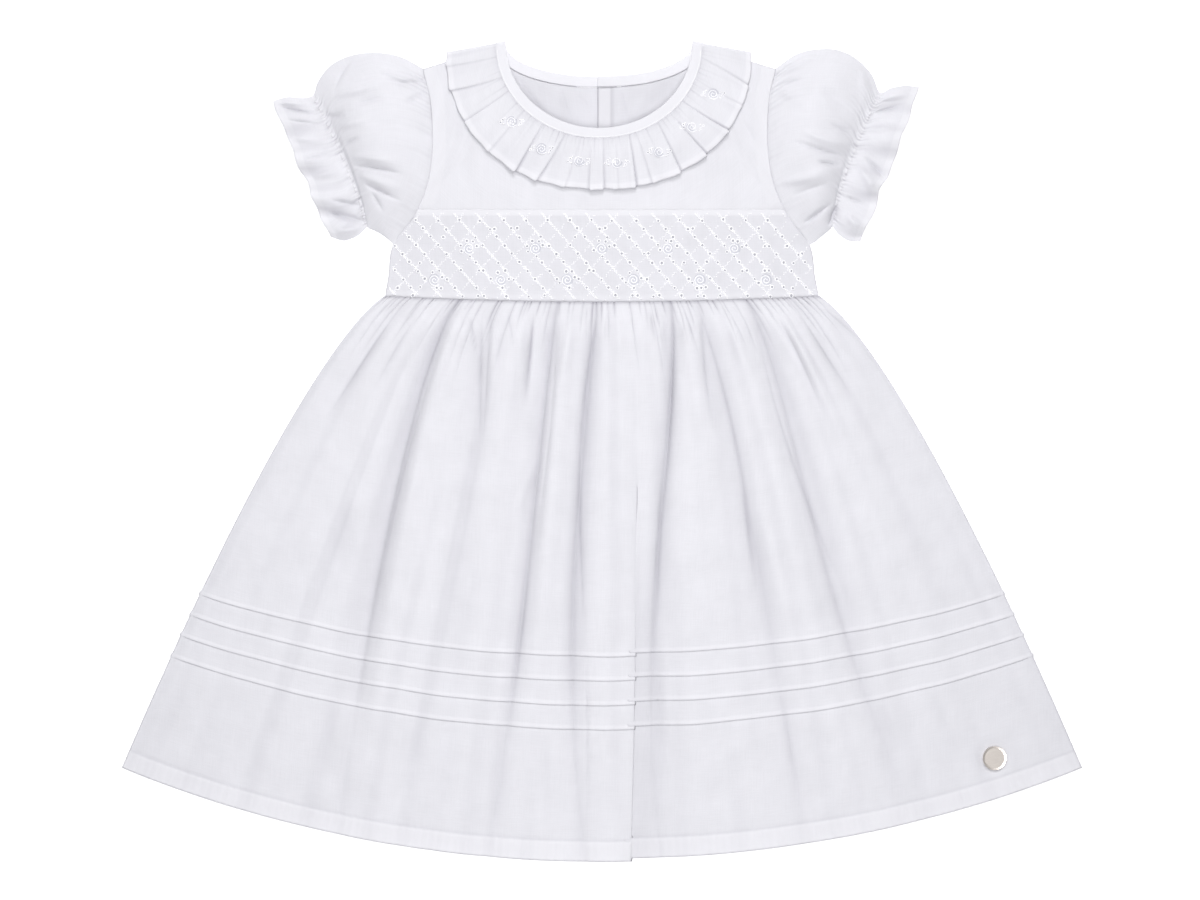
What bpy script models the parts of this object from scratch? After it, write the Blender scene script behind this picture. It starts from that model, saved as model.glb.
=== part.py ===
"""A toddler's short-sleeved cotton dress, laid flat on its back.

Lengths are in metres. The dress lies on z = 0 with its front facing +Z and its neck towards +Y, and the
origin is in the middle of its outline. Every cloth piece is a wall of its own, a seam's gap from the next.
"""

import math
from collections import namedtuple

import bmesh
import bpy
from mathutils import Vector

# Cloth, and how its layers lie
CLOTH = 0.0010
SEAM_GAP = 0.0003
LAYER = CLOTH + SEAM_GAP
AIR = 0.0034

# Neck: half an ellipse at the front, a shallower one at the back
NECK_X = -0.0018
NECK_Y = 0.2442
NECK_HALF = 0.0558
NECK_FRONT_DROP = 0.0504
NECK_BACK_DROP = 0.0192
NECK_SLOPE = 0.18
BINDING_WIDTH = 0.0063
BINDING_THICK = 2 * CLOTH + SEAM_GAP
RUFFLE_WIDTH = 0.0297
RUFFLE_WAVE = 0.0013
RUFFLE_WAVES = 11
RUFFLE_BACK_GAP = 0.0120
# Where the back of the ruffle lifts the layers over it, in shares of its reach: fully, and no longer
LIFTED_FRONT = (1.16, 1.44)
LIFTED_BACK = (1.12, 1.34)

# Bodice
SHOULDER_SLOPE = 0.30
YOKE_Y = 0.1452
ARMHOLE_LIFT = 0.0050
UNDERARM_Y = 0.1236
SHOULDER_EASE = 0.030
SIDE_HUG = 4
BACK_SIDE_BULGE = 1.5
# The armhole down to the underarm, then the side seam
Side = namedtuple("Side", "y half_width")
SIDE = tuple(Side(*row) for row in (
    (0.2466, 0.1075),
    (0.2295, 0.1060),
    (0.2150, 0.1024),
    (0.1950, 0.1006),
    (0.1770, 0.1010),
    (0.1580, 0.1046),
    (0.1410, 0.1122),
    (0.1236, 0.1252),
    (0.1050, 0.1282),
    (0.0860, 0.1316),
))
ARMHOLE_TOP = SIDE[1]

# Back opening: the right half laps over the left, and buttons close it to the waist
PLACKET_LEFT_EDGE = 0.0083
PLACKET_RIGHT_EDGE = -0.0027
PLACKET_RAMP = 0.0120
BUTTONS = 4
BUTTON_TOP_Y = 0.2130
BUTTON_SPACING = 0.0345
BUTTON_RADIUS = 0.0050
BUTTON_DISH = 0.0034
BUTTON_THICK = CLOTH
BUTTON_HOLLOW = BUTTON_THICK / 4

# Skirt: a fan from the waist seam to a round hem
WAIST_Y = 0.0888
WAIST_DIP = 0.0036
WAIST_HALF = 0.1308
HEM_Y = -0.2466
HEM_HALF = 0.2886
HEM_RADIUS = 0.7686
SKIRT_FLARE = 0.765
FOLD_MIDDLE = 0.40
PLEAT_LIFT = 0.0018
PLEAT_LAP = 0.001
PLEAT_FULL = 0.5
WAIST_EASE = 0.06
SIDE_EASE = 0.02
SKIRT_ROWS_ABOVE = (0.0, 0.03, 0.08, 0.15, 0.24, 0.34, 0.45, 0.55)
SKIRT_ROWS_BELOW = (0.82, 0.88, 0.94, 1.0)
BACK_SKIRT_ROWS = (0.0, 0.05, 0.15, 0.3, 0.5, 0.7, 0.85, 1.0)
# Ridges and hollows from left to right: across the half width at the waist, below it and at the hem,
# from -1 to 1, and how high the cloth stands off the back there
Fold = namedtuple("Fold", "waist middle hem waist_high middle_high hem_high")
FOLDS = tuple(Fold(*row) for row in (
    (-1.000, -1.000, -1.000, 0.0000, 0.0000, 0.0000),
    (-0.860, -0.930, -0.945, 0.0006, 0.0010, 0.0006),
    (-0.755, -0.780, -0.780, 0.0026, 0.0024, 0.0012),
    (-0.655, -0.605, -0.550, 0.0008, 0.0005, 0.0008),
    (-0.580, -0.535, -0.480, 0.0034, 0.0036, 0.0024),
    (-0.490, -0.385, -0.360, 0.0018, 0.0020, 0.0012),
    (-0.380, -0.290, -0.290, 0.0034, 0.0032, 0.0024),
    (-0.195, -0.200, -0.240, 0.0010, 0.0008, 0.0008),
    (-0.110, -0.135, -0.130, 0.0034, 0.0036, 0.0028),
    (-0.020, -0.072, -0.035, 0.0010, 0.0004, 0.0012),
    (0.060, 0.020, 0.015, 0.0036, 0.0036, 0.0028),
    (0.126, 0.098, 0.061, 0.0034, 0.0034, 0.0026),
    (0.133, 0.104, 0.066, 0.0030, 0.0022, 0.0012),
    (0.310, 0.167, 0.123, 0.0008, 0.0003, 0.0009),
    (0.365, 0.290, 0.270, 0.0034, 0.0036, 0.0026),
    (0.424, 0.425, 0.423, 0.0014, 0.0010, 0.0010),
    (0.535, 0.505, 0.535, 0.0034, 0.0034, 0.0024),
    (0.655, 0.600, 0.660, 0.0010, 0.0006, 0.0008),
    (0.780, 0.785, 0.790, 0.0030, 0.0030, 0.0012),
    (0.900, 0.885, 0.920, 0.0010, 0.0010, 0.0005),
    (1.000, 1.000, 1.000, 0.0000, 0.0000, 0.0000),
))
PLEAT_EDGE = 11
TUCKS = 4
TUCK_FIRST = 0.631
TUCK_SPACING = 0.0437
TUCK_DEEP = 0.0090
TUCK_EDGE = 0.0018
TUCK_HIGH = 0.0008

# Metal disc sewn on near the hem
DISC_ACROSS = 0.843
DISC_DOWN = 0.925
DISC_RADIUS = 0.0072
DISC_THICK = 0.0012
DISC_RIM = 0.0012
DISC_HOLLOW = DISC_THICK / 5
DISC_SHARE_STEP = 0.2
DISC_DOWN_STEP = 0.02

# Puffed sleeves, from the armhole to the elastic and out to the edge of the cuff's frill. Distances are
# outwards from the dress's middle; "curve" is the share of the armhole's curve that the section keeps
SLEEVE_EDGE = 0.0023
SLEEVE_WALL = 1.05 * CLOTH
PUFF_FULLNESS = 0.75
PUFF_SECTIONS = 2
Section = namedtuple("Section", "top_x top_y bottom_x bottom_y curve high")
SLEEVE_LEFT = tuple(Section(*row) for row in (
    (0.1213, 0.2370, 0.1275, 0.1262, 0.80, 0.0115),
    (0.1362, 0.2394, 0.1310, 0.1290, 0.64, 0.0150),
    (0.1512, 0.2376, 0.1345, 0.1312, 0.48, 0.0155),
    (0.1632, 0.2316, 0.1378, 0.1328, 0.33, 0.0125),
    (0.1704, 0.2226, 0.1402, 0.1336, 0.24, 0.0085),
    (0.1740, 0.2136, 0.1416, 0.1340, 0.20, 0.0056),
    (0.1800, 0.2122, 0.1465, 0.1295, 0.12, 0.0070),
    (0.1890, 0.2128, 0.1550, 0.1264, 0.00, 0.0086),
    (0.1980, 0.2106, 0.1632, 0.1285, -0.08, 0.0080),
))
SLEEVE_RIGHT = tuple(Section(*row) for row in (
    (0.1176, 0.2388, 0.1274, 0.1252, 0.80, 0.0115),
    (0.1310, 0.2416, 0.1304, 0.1276, 0.64, 0.0150),
    (0.1430, 0.2406, 0.1334, 0.1300, 0.50, 0.0155),
    (0.1536, 0.2352, 0.1360, 0.1322, 0.36, 0.0125),
    (0.1620, 0.2264, 0.1376, 0.1336, 0.28, 0.0085),
    (0.1674, 0.2154, 0.1388, 0.1342, 0.24, 0.0056),
    (0.1732, 0.2180, 0.1420, 0.1304, 0.12, 0.0070),
    (0.1822, 0.2196, 0.1480, 0.1264, -0.04, 0.0086),
    (0.1902, 0.2188, 0.1550, 0.1262, -0.16, 0.0080),
))

# How finely the curves are divided
ARMHOLE_STEPS = 10
YOKE_LINE_STEPS = 14
YOKE_ROWS = 6
BAND_STEPS = 14
BAND_ROWS = 8
SHOULDER_STEPS = 6
BACK_NECK_STEPS = 9
BACK_ROWS = 14
NECK_STEPS = 36
WRAP_STEPS = 5
FOLD_STEPS = 2
BACK_SKIRT_STEPS = 20
SLEEVE_OVER = 20
SLEEVE_UNDER = 14
ROUND_STEPS = 24


def mix(start, end, share):
    return start + (end - start) * share


def ease(share):
    """Zero to one with soft ends, held outside that range."""
    share = min(max(share, 0.0), 1.0)
    return share * share * (3 - 2 * share)


def between(table, place):
    """A smooth curve through a table's second column, at a place in its first, which runs downwards."""
    last = len(table) - 1
    number = next((n for n in range(last) if place >= table[n + 1][0]), last - 1)
    (upper, first), (lower, second) = table[number], table[number + 1]
    before, after = table[max(number - 1, 0)], table[min(number + 2, last)]
    span = upper - lower
    rise = (second - before[1]) / (before[0] - lower) * span
    fall = (after[1] - first) / (upper - after[0]) * span
    share = (upper - place) / span
    curve = share * (share - 1) * ((share - 1) * rise + share * fall)
    return mix(first, second, ease(share)) + curve


# ---------------------------------------------------------------- materials and meshes

def clear_scene():
    for thing in list(bpy.data.objects):
        bpy.data.objects.remove(thing)


def plain_material(name, colour, roughness, metallic=0.0):
    material = bpy.data.materials.new(name)
    material.use_nodes = True
    shader = material.node_tree.nodes["Principled BSDF"]
    shader.inputs["Base Color"].default_value = (*colour, 1.0)
    shader.inputs["Roughness"].default_value = roughness
    shader.inputs["Metallic"].default_value = metallic
    return material


def new_part(name, shape, material, smooth=True):
    """Links a finished bmesh to the dress's collection as one named part."""
    mesh = bpy.data.meshes.new(name)
    shape.to_mesh(mesh)
    shape.free()
    mesh.materials.append(material)
    if smooth:
        mesh.shade_smooth()
    part = bpy.data.objects.new(name, mesh)
    dress.objects.link(part)
    return part


def panel(name, rows, material, thick=CLOTH):
    """A sheet of cloth. Rows run down and from left to right, on the side that faces the body."""
    down = len(rows) - 1
    across = len(rows[0]) - 1
    shape = bmesh.new()
    bmesh.ops.create_grid(shape, x_segments=across, y_segments=down, size=0.5)
    for vert in shape.verts:
        row = round((0.5 - vert.co.y) * down)
        column = round((0.5 + vert.co.x) * across)
        vert.co = rows[row][column]
    part = new_part(name, shape, material)
    wall = part.modifiers.new("wall", "SOLIDIFY")
    wall.thickness = thick
    wall.offset = 1.0
    wall.use_even_offset = True
    return part


def tube(name, outer, inner, material):
    """A hollow wall between matching outer and inner rings, open at both ends."""
    shape = bmesh.new()
    skins = [[[shape.verts.new(point) for point in ring] for ring in side] for side in (outer, inner)]
    count = len(outer[0])
    for here in range(count):
        after = (here + 1) % count
        for skin, turned in zip(skins, (False, True)):
            for first, second in zip(skin, skin[1:]):
                face = [first[here], first[after], second[after], second[here]]
                shape.faces.new(face[::-1] if turned else face)
        for end, turned in ((0, True), (-1, False)):
            face = [skins[0][end][here], skins[0][end][after], skins[1][end][after], skins[1][end][here]]
            shape.faces.new(face[::-1] if turned else face)
    bmesh.ops.recalc_face_normals(shape, faces=shape.faces)
    return new_part(name, shape, material)


# ---------------------------------------------------------------- the body's lines and heights

def lean(y):
    """The body's middle line leans a little towards the neck's middle."""
    return NECK_X * (y - WAIST_Y) / (NECK_Y - WAIST_Y)


def side_x(hand, y):
    return lean(y) + hand * between(SIDE, y)


def shoulder_y(x):
    return NECK_Y - SHOULDER_SLOPE * max(abs(x - NECK_X) - NECK_HALF, 0.0)


def waist_y(across):
    return WAIST_Y + WAIST_DIP * across * across


def neck_point(angle, width, drop):
    """A point a width outside the neck's edge. The angle runs from pi at the left shoulder to two pi."""
    x = NECK_X + (NECK_HALF + width) * math.cos(angle)
    y = NECK_Y + (drop + width) * math.sin(angle) - NECK_SLOPE * width * abs(math.cos(angle))
    return x, y


def over_ruffle(x, y, lifted):
    """One where the back of the ruffle lies under the body, and zero away from it."""
    inner, outer = lifted
    reach = BINDING_WIDTH + RUFFLE_WIDTH
    far = math.hypot((x - NECK_X) / (NECK_HALF + reach), (y - NECK_Y) / (NECK_BACK_DROP + reach))
    return ease((outer - far) / (outer - inner))


def front_height(x, y):
    """How high the inner side of the yoke and the band lies."""
    out = min(abs(x - lean(y)) / between(SIDE, y), 1.0) ** SIDE_HUG
    down = (ARMHOLE_TOP.y - y) / (ARMHOLE_TOP.y - UNDERARM_Y)
    armhole = math.sin(math.pi * min(max(down, 0.0), 1.0))
    loft = mix(AIR, ARMHOLE_LIFT * armhole, out) * ease((shoulder_y(x) - y) / SHOULDER_EASE)
    return LAYER + LAYER * over_ruffle(x, y, LIFTED_FRONT) + loft


def back_height(hand, x, y):
    """How high the outer side of a back half lies: over the ruffle, the buttons and the other half."""
    above_waist = ease((y - WAIST_Y - WAIST_DIP) / PLACKET_RAMP)
    near_buttons = ease((PLACKET_LEFT_EDGE + PLACKET_RAMP - abs(x)) / PLACKET_RAMP) * above_waist
    raised = LAYER * max(over_ruffle(x, y, LIFTED_BACK), near_buttons)
    if hand > 0:
        raised += LAYER * ease((PLACKET_LEFT_EDGE + SEAM_GAP + PLACKET_RAMP - x) / PLACKET_RAMP)
    return raised


# ---------------------------------------------------------------- bodice

def armhole_points(hand, low, steps):
    heights = [mix(ARMHOLE_TOP.y, low, step / steps) for step in range(steps + 1)]
    return [(side_x(hand, y), y) for y in heights]


def make_yoke():
    """Plain front above the band: rays from the neck seam to the shoulders, armholes and band seam."""
    line = YOKE_Y + SEAM_GAP / 2
    left = armhole_points(-1, line, ARMHOLE_STEPS)
    right = armhole_points(1, line, ARMHOLE_STEPS)[::-1]
    middle = [(mix(left[-1][0], right[0][0], step / YOKE_LINE_STEPS), line)
              for step in range(1, YOKE_LINE_STEPS)]
    rim = left + middle + right
    turns = [math.atan2(y - NECK_Y, x - NECK_X) % (2 * math.pi) for x, y in rim]
    inner = [neck_point(math.pi * (1 + (turn - turns[0]) / (turns[-1] - turns[0])),
                        BINDING_WIDTH + SEAM_GAP, NECK_FRONT_DROP) for turn in turns]
    rows = []
    for row in range(YOKE_ROWS + 1):
        share = row / YOKE_ROWS
        places = [(mix(a[0], b[0], share), mix(a[1], b[1], share)) for a, b in zip(inner, rim)]
        rows.append([(x, y, front_height(x, y)) for x, y in places])
    return panel("front_yoke", rows, cotton)


def make_band():
    """Embroidered band between the yoke and the waist."""
    rows = []
    for row in range(BAND_ROWS + 1):
        line = []
        for column in range(BAND_STEPS + 1):
            across = 2 * column / BAND_STEPS - 1
            y = mix(YOKE_Y, waist_y(across) + SEAM_GAP, row / BAND_ROWS) - SEAM_GAP / 2
            x = lean(y) + across * between(SIDE, y)
            line.append((x, y, front_height(x, y)))
        rows.append(line)
    return panel("embroidered_band", rows, embroidered)


def make_back(hand, name):
    """One back half, from the armhole and side seam to its edge of the buttoned opening."""
    edge = PLACKET_RIGHT_EDGE if hand > 0 else PLACKET_LEFT_EDGE
    width = BINDING_WIDTH + SEAM_GAP
    start = 0.0 if hand > 0 else math.pi
    last = math.acos((edge - NECK_X) / (NECK_HALF + width))
    turn = -last - start if hand > 0 else 2 * math.pi - last - start
    neck = [neck_point(start + turn * step / BACK_NECK_STEPS, width, NECK_BACK_DROP)
            for step in range(BACK_NECK_STEPS + 1)]
    outer = (side_x(hand, ARMHOLE_TOP.y), ARMHOLE_TOP.y)
    shares = [step / SHOULDER_STEPS for step in range(SHOULDER_STEPS)]
    shoulder = [(mix(outer[0], neck[0][0], share), mix(outer[1], neck[0][1], share)) for share in shares]
    top = shoulder + neck
    along = [0.0]
    for first, second in zip(top, top[1:]):
        along.append(along[-1] + math.dist(first, second))
    low = waist_y(1.0)
    rows = []
    for row in range(BACK_ROWS + 1):
        share = row / BACK_ROWS
        side_here = mix(outer[1], low, share)
        bulge = side_x(hand, side_here) - mix(outer[0], side_x(hand, low), share)
        line = []
        for (x, y), reach in zip(top, along):
            inwards = reach / along[-1]
            foot = mix(side_x(hand, low), edge, inwards)
            foot_y = waist_y(foot / WAIST_HALF) + SEAM_GAP / 2
            place = (mix(x, foot, share) + bulge * (1 - inwards) ** BACK_SIDE_BULGE, mix(y, foot_y, share))
            line.append((*place, back_height(hand, *place)))
        rows.append(line[::-1] if hand > 0 else line)
    return panel(name, rows, cotton)


def make_buttons():
    """Flat round buttons under the left back half, each with a dished face."""
    for number in range(BUTTONS):
        shape = bmesh.new()
        bmesh.ops.create_cone(shape, cap_ends=True, segments=ROUND_STEPS, radius1=BUTTON_RADIUS,
                              radius2=BUTTON_RADIUS, depth=BUTTON_THICK)
        face = min(shape.faces, key=lambda each: each.calc_center_median().z)
        dish = bmesh.ops.inset_individual(shape, faces=[face], thickness=BUTTON_RADIUS - BUTTON_DISH)
        bmesh.ops.translate(shape, verts=face.verts, vec=(0, 0, BUTTON_HOLLOW))
        part = new_part(f"back_button_{number + 1}", shape, pearl, smooth=False)
        x = (PLACKET_LEFT_EDGE + PLACKET_RIGHT_EDGE) / 2
        part.location = (x, BUTTON_TOP_Y - number * BUTTON_SPACING, BUTTON_THICK / 2)


# ---------------------------------------------------------------- neck binding and ruffle

def neck_strip(name, near, far, across, back_face, front_rise, thick, gap_left, gap_right, wave, material):
    """A strip sewn round the neck: under the back, over each shoulder's fold and across the front."""
    stations = []
    first = 2 * math.pi - math.acos((gap_left - NECK_X) / NECK_HALF)
    last = 2 * math.pi - math.acos((gap_right - NECK_X) / NECK_HALF)
    back_steps = NECK_STEPS // 3
    for step in range(back_steps):
        stations.append(("back", mix(first, math.pi, step / back_steps)))
    for step in range(WRAP_STEPS + 1):
        stations.append(("left", math.pi * step / WRAP_STEPS))
    for step in range(1, NECK_STEPS):
        stations.append(("front", math.pi * (1 + step / NECK_STEPS)))
    for step in range(WRAP_STEPS + 1):
        stations.append(("right", math.pi * (1 - step / WRAP_STEPS)))
    for step in range(1, back_steps + 1):
        stations.append(("lapped", mix(2 * math.pi, last, step / back_steps)))
    rows = []
    for row in range(across + 1):
        width = mix(near, far, row / across)
        line = []
        for place, angle in stations:
            if place == "front":
                x, y = neck_point(angle, width, NECK_FRONT_DROP)
                crest = 0.5 - 0.5 * math.cos(2 * RUFFLE_WAVES * angle)
                height = front_height(x, y) + front_rise + wave * crest * ease(row / across)
            elif place in ("left", "right"):
                x, y = neck_point(math.pi if place == "left" else 2 * math.pi, width, NECK_BACK_DROP)
                top = front_height(x, y) + front_rise
                y += (top - back_face) / 2 * math.sin(angle)
                height = mix(back_face, top, 0.5 - 0.5 * math.cos(angle))
            else:
                x, y = neck_point(angle, width, NECK_BACK_DROP)
                height = back_face
                if place == "lapped" and gap_right < gap_left:
                    lap = ease((PLACKET_LEFT_EDGE + SEAM_GAP + PLACKET_RAMP - x) / PLACKET_RAMP)
                    height += lap * (thick + SEAM_GAP)
            line.append((x, y, height))
        rows.append(line)
    return panel(name, rows, material, thick)


def make_binding():
    return neck_strip("neck_binding", 0.0, BINDING_WIDTH, 1, BINDING_THICK, 0.0, BINDING_THICK,
                      PLACKET_LEFT_EDGE, PLACKET_RIGHT_EDGE, 0.0, cotton)


def make_ruffle():
    near = BINDING_WIDTH + SEAM_GAP
    return neck_strip("collar_ruffle", near, near + RUFFLE_WIDTH, 3, CLOTH, LAYER, CLOTH,
                      NECK_X - RUFFLE_BACK_GAP, NECK_X + RUFFLE_BACK_GAP, RUFFLE_WAVE, cotton)


# ---------------------------------------------------------------- skirt

def skirt_place(across, down):
    """A point of the fan: across from -1 to 1 between the sides, down from the waist, 0, to the hem, 1."""
    half = mix(WAIST_HALF, HEM_HALF, down ** SKIRT_FLARE)
    hem = HEM_Y + HEM_RADIUS - math.sqrt(HEM_RADIUS ** 2 - (across * HEM_HALF) ** 2)
    return across * half, mix(waist_y(across) - SEAM_GAP / 2, hem, down)


def through(waist, middle, hem, down):
    """A smooth run through three values, at the waist, a fold's middle and the hem."""
    at_waist = (down - FOLD_MIDDLE) * (down - 1) / FOLD_MIDDLE
    at_middle = down * (1 - down) / (FOLD_MIDDLE * (1 - FOLD_MIDDLE))
    at_hem = down * (down - FOLD_MIDDLE) / (1 - FOLD_MIDDLE)
    return waist * at_waist + middle * at_middle + hem * at_hem


def fold_across(fold, down):
    return through(fold.waist, fold.middle, fold.hem, down)


def fold_high(fold, down):
    return through(fold.waist_high, fold.middle_high, fold.hem_high, down)


def skirt_columns():
    """Pairs of neighbouring fold lines with the share between them, one for each column of the mesh."""
    columns = []
    for number, (line, following) in enumerate(zip(FOLDS, FOLDS[1:])):
        steps = 1 if number == PLEAT_EDGE else FOLD_STEPS
        columns += [(line, following, step / steps) for step in range(steps)]
    return columns + [(FOLDS[-2], FOLDS[-1], 1.0)]


def skirt_rows():
    """Rows of the mesh, each with how far a pin tuck lifts it."""
    rows = [(down, 0.0) for down in SKIRT_ROWS_ABOVE]
    for number in range(TUCKS):
        edge = TUCK_FIRST + number * TUCK_SPACING
        rows += [(edge - TUCK_DEEP, 0.0), (edge, TUCK_HIGH), (edge + TUCK_EDGE, 0.0)]
    return rows + [(down, 0.0) for down in SKIRT_ROWS_BELOW]


def skirt_point(line, following, share, down, lift):
    """A point on the inner side of the front skirt."""
    across = mix(fold_across(line, down), fold_across(following, down), share)
    rise = mix(fold_high(line, down), fold_high(following, down), ease(share))
    x, y = skirt_place(across, down)
    pleat = fold_across(FOLDS[PLEAT_EDGE], down)
    if across > pleat + PLEAT_LAP:
        y += PLEAT_LIFT * ease(down / PLEAT_FULL) * (1 - across) / (1 - pleat)
    at_waist = front_height(x, WAIST_Y)
    height = mix(at_waist, LAYER + max(rise, 0.0), ease(down / WAIST_EASE))
    return x, y, height + lift * ease((1 - abs(across)) / SIDE_EASE)


def make_front_skirt():
    columns = skirt_columns()
    rows = [[skirt_point(*column, down, lift) for column in columns] for down, lift in skirt_rows()]
    return panel("front_skirt", rows, cotton)


def make_back_skirt():
    rows = []
    acrosses = [2 * step / BACK_SKIRT_STEPS - 1 for step in range(BACK_SKIRT_STEPS + 1)]
    for down in BACK_SKIRT_ROWS:
        places = [skirt_place(across, down) for across in acrosses]
        rows.append([(x, y, 0.0) for x, y in places])
    return panel("back_skirt", rows, cotton)


def make_disc():
    """Plain metal disc with a raised rim, lying on the skirt near the hem."""
    number = next(n for n, fold in enumerate(FOLDS) if fold_across(fold, DISC_DOWN) > DISC_ACROSS)
    line, following = FOLDS[number - 1], FOLDS[number]
    start, end = fold_across(line, DISC_DOWN), fold_across(following, DISC_DOWN)
    share = (DISC_ACROSS - start) / (end - start)
    here = Vector(skirt_point(line, following, share, DISC_DOWN, 0.0))
    beside = Vector(skirt_point(line, following, share + DISC_SHARE_STEP, DISC_DOWN, 0.0)) - here
    above = Vector(skirt_point(line, following, share, DISC_DOWN - DISC_DOWN_STEP, 0.0)) - here
    normal = beside.cross(above).normalized()
    shape = bmesh.new()
    bmesh.ops.create_cone(shape, cap_ends=True, segments=ROUND_STEPS, radius1=DISC_RADIUS,
                          radius2=DISC_RADIUS, depth=DISC_THICK)
    face = max(shape.faces, key=lambda each: each.calc_center_median().z)
    bmesh.ops.inset_individual(shape, faces=[face], thickness=DISC_RIM)
    bmesh.ops.translate(shape, verts=face.verts, vec=(0, 0, -DISC_HOLLOW))
    part = new_part("hem_disc", shape, metal, smooth=False)
    part.rotation_mode = "QUATERNION"
    part.rotation_quaternion = normal.to_track_quat("Z", "Y")
    part.location = here + normal * (LAYER + SEAM_GAP + DISC_THICK / 2)


# ---------------------------------------------------------------- sleeves

def armhole_curve(share):
    """How far the armhole leaves the straight line between its ends."""
    y = mix(ARMHOLE_TOP.y, UNDERARM_Y, share)
    return between(SIDE, y) - mix(ARMHOLE_TOP.half_width, between(SIDE, UNDERARM_Y), share)


def sleeve_ring(hand, section, number, inside):
    """One section of a sleeve: over the top from the shoulder to the underarm, and back under."""
    length = math.hypot(section.top_x - section.bottom_x, section.top_y - section.bottom_y)
    trim = CLOTH / length if inside else 0.0
    fullness = mix(1.0, PUFF_FULLNESS, min(number / PUFF_SECTIONS, 1.0))
    ring = []
    for step in range(SLEEVE_OVER + 1):
        share = 0.5 - 0.5 * math.cos(math.pi * step / SLEEVE_OVER)
        height = SLEEVE_EDGE + (section.high - SLEEVE_EDGE) * math.sin(math.pi * share) ** fullness
        ring.append((mix(trim, 1 - trim, share), height - SLEEVE_WALL if inside else height))
    for step in range(SLEEVE_UNDER + 1):
        share = 0.5 + 0.5 * math.cos(math.pi * step / SLEEVE_UNDER)
        ring.append((mix(trim, 1 - trim, share), CLOTH if inside else 0.0))
    points = []
    for share, height in ring:
        out = mix(section.top_x, section.bottom_x, share) + section.curve * armhole_curve(share)
        points.append((hand * out, mix(section.top_y, section.bottom_y, share), height))
    return points


def make_sleeve(hand, name, sections):
    gap = 2 * SEAM_GAP
    top = hand * side_x(hand, ARMHOLE_TOP.y) + gap
    bottom = hand * side_x(hand, UNDERARM_Y) + gap
    armhole_high = LAYER + ARMHOLE_LIFT + CLOTH
    armhole = Section(top, ARMHOLE_TOP.y, bottom, UNDERARM_Y, 1.0, armhole_high)
    sections = (armhole, *sections)
    outer = [sleeve_ring(hand, section, number, False) for number, section in enumerate(sections)]
    inner = [sleeve_ring(hand, section, number, True) for number, section in enumerate(sections)]
    return tube(name, outer, inner, cotton)


clear_scene()
dress = bpy.data.collections.new("toddler_dress")
bpy.context.scene.collection.children.link(dress)
cotton = plain_material("white_cotton", (0.80, 0.79, 0.84), 0.9)
embroidered = plain_material("white_embroidery", (0.84, 0.83, 0.87), 0.85)
pearl = plain_material("pearl_button", (0.86, 0.84, 0.82), 0.25)
metal = plain_material("brushed_metal", (0.62, 0.55, 0.49), 0.35, metallic=1.0)

make_yoke()
make_band()
make_back(-1, "back_bodice_left")
make_back(1, "back_bodice_right")
make_buttons()
make_binding()
make_ruffle()
make_front_skirt()
make_back_skirt()
make_disc()
make_sleeve(-1, "sleeve_left", SLEEVE_LEFT)
make_sleeve(1, "sleeve_right", SLEEVE_RIGHT)
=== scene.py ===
import math

import bpy
import numpy as np
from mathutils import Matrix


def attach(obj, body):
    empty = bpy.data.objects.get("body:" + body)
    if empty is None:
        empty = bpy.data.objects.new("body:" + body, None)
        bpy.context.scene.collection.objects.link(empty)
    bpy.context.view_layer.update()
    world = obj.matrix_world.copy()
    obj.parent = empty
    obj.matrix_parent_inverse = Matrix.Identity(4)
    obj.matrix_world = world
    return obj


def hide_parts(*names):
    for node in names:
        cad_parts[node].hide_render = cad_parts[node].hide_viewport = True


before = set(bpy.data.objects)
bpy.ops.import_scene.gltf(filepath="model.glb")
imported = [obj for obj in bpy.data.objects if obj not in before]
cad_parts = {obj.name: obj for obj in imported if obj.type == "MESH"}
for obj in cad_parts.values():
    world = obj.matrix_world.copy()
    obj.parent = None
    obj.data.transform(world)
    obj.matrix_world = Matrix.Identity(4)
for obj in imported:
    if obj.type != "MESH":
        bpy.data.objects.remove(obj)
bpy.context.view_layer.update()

# ------------------------------------------------------------------ front yoke
# The plain upper front, cut from white cotton lawn to the round neck, the shoulders and the armholes. It is
# sewn to the band below; the seam allowances pressed towards it show through as a whiter edge.
LAWN = 0.00045
CAD_CLOTH = 0.0010
SEAM = 0.0003
LAYER = CAD_CLOTH + SEAM
AIR = 0.0034
NECK = (-0.0018, 0.2442)
NECK_HALF = 0.0558
NECK_FRONT_DROP = 0.0504
NECK_BACK_DROP = 0.0192
NECK_SLOPE = 0.18
BINDING_WIDTH = 0.0063
RUFFLE_WIDTH = 0.0297
RUFFLE_BELOW_FRONT = (1.16, 1.44)
YOKE_LINE = 0.1452
UNDERARM = 0.1236
ARMHOLE_TOP = 0.2295
ARMHOLE_LIFT = 0.0050
WAIST = 0.0888
WAIST_HALF = 0.1308
WAIST_DIP = 0.0036
SIDE_Y = (0.0860, 0.1050, 0.1236, 0.1410, 0.1580, 0.1770, 0.1950, 0.2150, 0.2295, 0.2466)
SIDE_HALF = (0.1316, 0.1282, 0.1252, 0.1122, 0.1046, 0.1010, 0.1006, 0.1024, 0.1060, 0.1075)
ALLOWANCE = 0.0085
LAP = 0.0008
SHADE_GAIN = 150
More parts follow.
